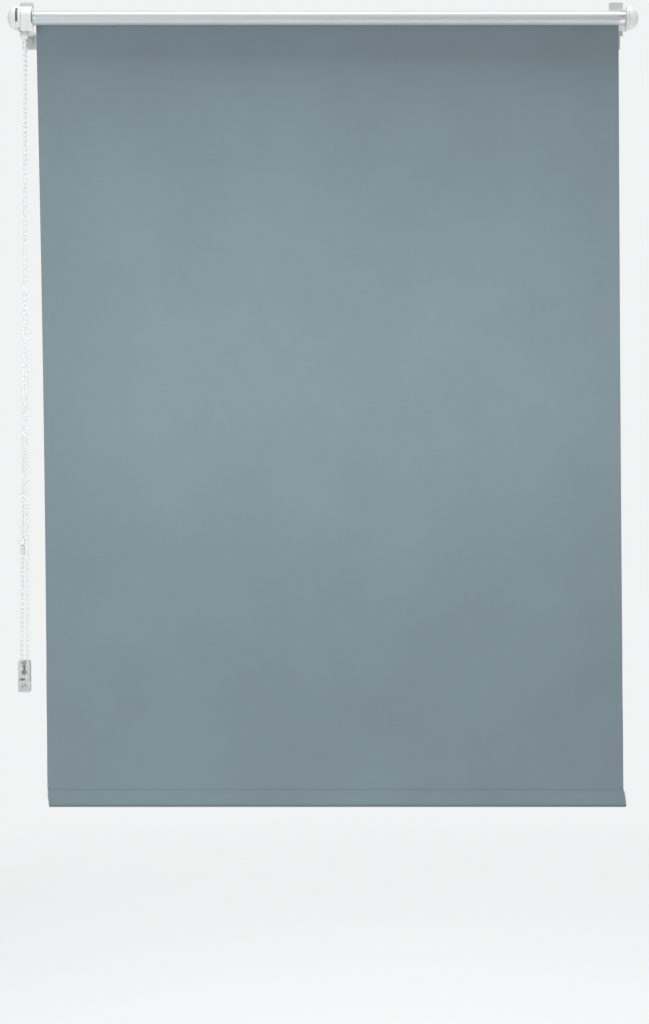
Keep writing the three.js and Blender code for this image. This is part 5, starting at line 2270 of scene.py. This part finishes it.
    def pad(self) -> Piece:
        """Makes the foam tape behind the base.

        Returns:
            The pad.
        """
        box = Box.of("holder_pad")
        pad = prism("pad", rounded(box.x0, box.z0, box.x1, box.z1, 1.0), Axis.Y, box.y0, box.y1)
        return soften(pad, 0.15, 2)

    def build(self, finishes: Finishes) -> None:
        """Builds and dresses the holder.

        Args:
            finishes: the materials.
        """
        clear, dark = finishes.clear, finishes.dark
        finish_piece(self.base(), "holder_plate", Body.ROOT, clear, ("holder_base",))
        finish_piece(self.cover(), "holder_shell", Body.ROOT, clear, ("holder_cover",))
        # The guide and the retainer are dark as painted shade deep inside the holder.
        finish_piece(self.guide(), "holder_guide", Body.ROOT, dark)
        finish_piece(self.retainer(), "holder_retainer", Body.ROOT, dark)
        finish_piece(self.screw(), "holder_fixing", Body.ROOT, finishes.steel, ("holder_screw",))
        finish_piece(self.pad(), "holder_tape", Body.ROOT, finishes.foam, ("holder_pad",))


# Pieces that keep their CAD shape


def dress_kept(finishes: Finishes) -> None:
    """Gives the nodes that stay their materials.

    Args:
        finishes: the materials.
    """
    kept = {
        "spindle": finishes.steel,
        "chain_wheel": finishes.white,
        "clutch_spring": finishes.steel,
        "drive_plug": finishes.grey,
        "fabric_spline": finishes.white,
        "idler_plug": finishes.grey,
        "idler_cap": finishes.grey,
        "idler_pin": finishes.steel,
    }
    for name, material in kept.items():
        for slot in frame["nodes"][name].material_slots:
            slot.material = material


# Studio


@dataclass(frozen=True)
class Panel:
    """A soft light panel."""

    name: str
    place: Point
    aim: Point
    size: Pair
    power: float
    colour: Colour = (1.0, 1.0, 1.0)
    spread: float = 180.0

    def build(self) -> None:
        """Makes the light, turned towards its aim."""
        light = bpy.data.lights.new(self.name, "AREA")
        light.shape = "RECTANGLE"
        light.size, light.size_y = self.size
        light.energy = self.power
        light.spread = math.radians(self.spread)
        light.color = self.colour
        lamp = bpy.data.objects.new(self.name, light)
        lamp.location = self.place
        lamp.rotation_euler = (Vector(self.aim) - Vector(self.place)).to_track_quat("-Z", "Y").to_euler()
        bpy.context.scene.collection.objects.link(lamp)


@dataclass
class Studio:
    """Floor, soft lights and the camera at the viewing angle."""

    floor_height: float = -1.6
    floor_middle: float = -0.6
    floor_solid: float = 1.8
    floor_reach: float = 4.2
    floor_glow: float = 0.34
    camera_place: Point = (-0.00606, -3.03315, -0.51315)
    camera_tilt: float = 87.994
    lens: float = 82.01
    sensor: float = 36.0
    clip: Pair = (0.05, 60.0)
    world: float = 0.3
    backdrop: float = 0.9
    pale: tuple[float, float, float, float] = (0.985, 0.995, 1.0, 1.0)

    def camera(self) -> None:
        """Makes the camera, whose view is the photograph's, 649 by 1,024."""
        data = bpy.data.cameras.new("camera")
        data.sensor_fit = "AUTO"
        data.sensor_width = self.sensor
        data.lens = self.lens
        data.clip_start, data.clip_end = self.clip
        camera = bpy.data.objects.new("camera", data)
        camera.location = self.camera_place
        camera.rotation_euler = (math.radians(self.camera_tilt), 0.0, 0.0)
        bpy.context.scene.collection.objects.link(camera)
        bpy.context.scene.camera = camera

    def floor(self) -> None:
        """Makes the plain pale floor, which fades into the backdrop at its rim."""
        reach = self.floor_reach / MM
        level = self.floor_height / MM
        rim = arc((0.0, self.floor_middle / MM), reach, 0.0, FULL_TURN, 96)[:-1]
        floor = new_piece("floor", [(x, y, level) for x, y in rim], [tuple(range(len(rim)))])
        material, desk, shader = new_material("Pale floor")
        places = object_places(desk)
        cloud = desk.noise(places, 0.7, 3.0)
        ground = desk.blend(cloud, (0.84, 0.845, 0.85, 1), (0.87, 0.875, 0.88, 1))
        desk.feed(shader.inputs["Base Color"], ground)
        shader.inputs["Roughness"].default_value = 0.9
        shader.inputs["Emission Color"].default_value = self.pale
        shader.inputs["Emission Strength"].default_value = self.floor_glow
        distance = desk.add("ShaderNodeVectorMath", operation="DISTANCE")
        desk.feed(distance.inputs[0], places)
        distance.inputs[1].default_value = (0.0, self.floor_middle, self.floor_height)
        fade = desk.ramp(distance.outputs["Value"], self.floor_solid, self.floor_reach, 1.0, 0.0)
        desk.feed(shader.inputs["Alpha"], fade)
        floor.data.materials.append(material)

    def light(self) -> None:
        """Makes the world's even light and the soft panels."""
        world = bpy.data.worlds.new("Pale studio")
        bpy.context.scene.world = world
        world.use_nodes = True
        desk = Desk(world.node_tree)
        fill = world.node_tree.nodes["Background"]
        fill.inputs["Color"].default_value = self.pale
        fill.inputs["Strength"].default_value = self.world
        seen = desk.add("ShaderNodeBackground")
        seen.inputs["Color"].default_value = self.pale
        seen.inputs["Strength"].default_value = self.backdrop
        mix = desk.add("ShaderNodeMixShader")
        desk.feed(mix.inputs[0], desk.add("ShaderNodeLightPath").outputs["Is Camera Ray"])
        desk.feed(mix.inputs[1], fill.outputs[0])
        desk.feed(mix.inputs[2], seen.outputs[0])
        desk.feed(world.node_tree.nodes["World Output"].inputs["Surface"], mix.outputs[0])
        panels = [
            Panel("overhead", (0.0, -0.30, 1.2), (0.0, -0.05, -0.3), (2.2, 0.4), 16.9),
            Panel("overhead_low", (0.0, -0.13, 0.8), (0.0, -0.11, -0.3), (2.0, 0.22), 2.4),
            Panel("front_left", (-0.9, -1.6, -0.3), (-0.1, 0.0, -0.35), (0.8, 0.8), 7.4),
            Panel("front", (0.08, -2.4, -0.35), (0.05, 0.0, -0.42), (1.0, 0.3), 0.45, spread=22.0),
            Panel("below", (0.0, -0.7, -1.5), (0.0, -0.2, 0.3), (1.6, 0.5), 3.2),
            Panel("side_left", (-1.7, -0.35, 0.0), (-0.4, -0.02, 0.0), (0.5, 0.7), 2.5),
            Panel("side_right", (1.7, -0.35, 0.0), (0.4, -0.02, 0.0), (0.5, 0.7), 4.0),
            Panel("behind", (0.6, 2.6, 0.8), (0.0, 0.0, -0.4), (2.5, 2.0), 25.0),
        ]
        for panel in panels:
            panel.build()

    def build(self) -> None:
        """Builds the floor, the lights and the camera."""
        self.camera()
        self.floor()
        self.light()
        bpy.context.scene.view_settings.view_transform = "Standard"


def main() -> None:
    """Builds the whole blind and its studio, and logs each piece."""
    logging.basicConfig(level=logging.INFO, format="%(message)s")
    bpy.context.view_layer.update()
    Studio().build()
    finishes = Finishes.build()
    assemblies = [
        Carrier(Side.LEFT), Carrier(Side.RIGHT),
        EndFitting(Side.LEFT),
        EndFitting(Side.RIGHT, plate_bottom=1.6, plate_top=28.4, bore=2.35, screw_x=370.1),
        Drive(), Roller(), Idler(), Cloth(), Chain(), Holder(),
    ]
    for assembly in assemblies:
        before = set(bpy.data.objects)
        assembly.build(finishes)
        for piece in sorted(set(bpy.data.objects) - before, key=lambda one: one.name):
            log.info("%s: %s, %d faces", type(assembly).__name__, piece.name, len(piece.data.polygons))
    dress_kept(finishes)


if __name__ == "__main__":
    main()
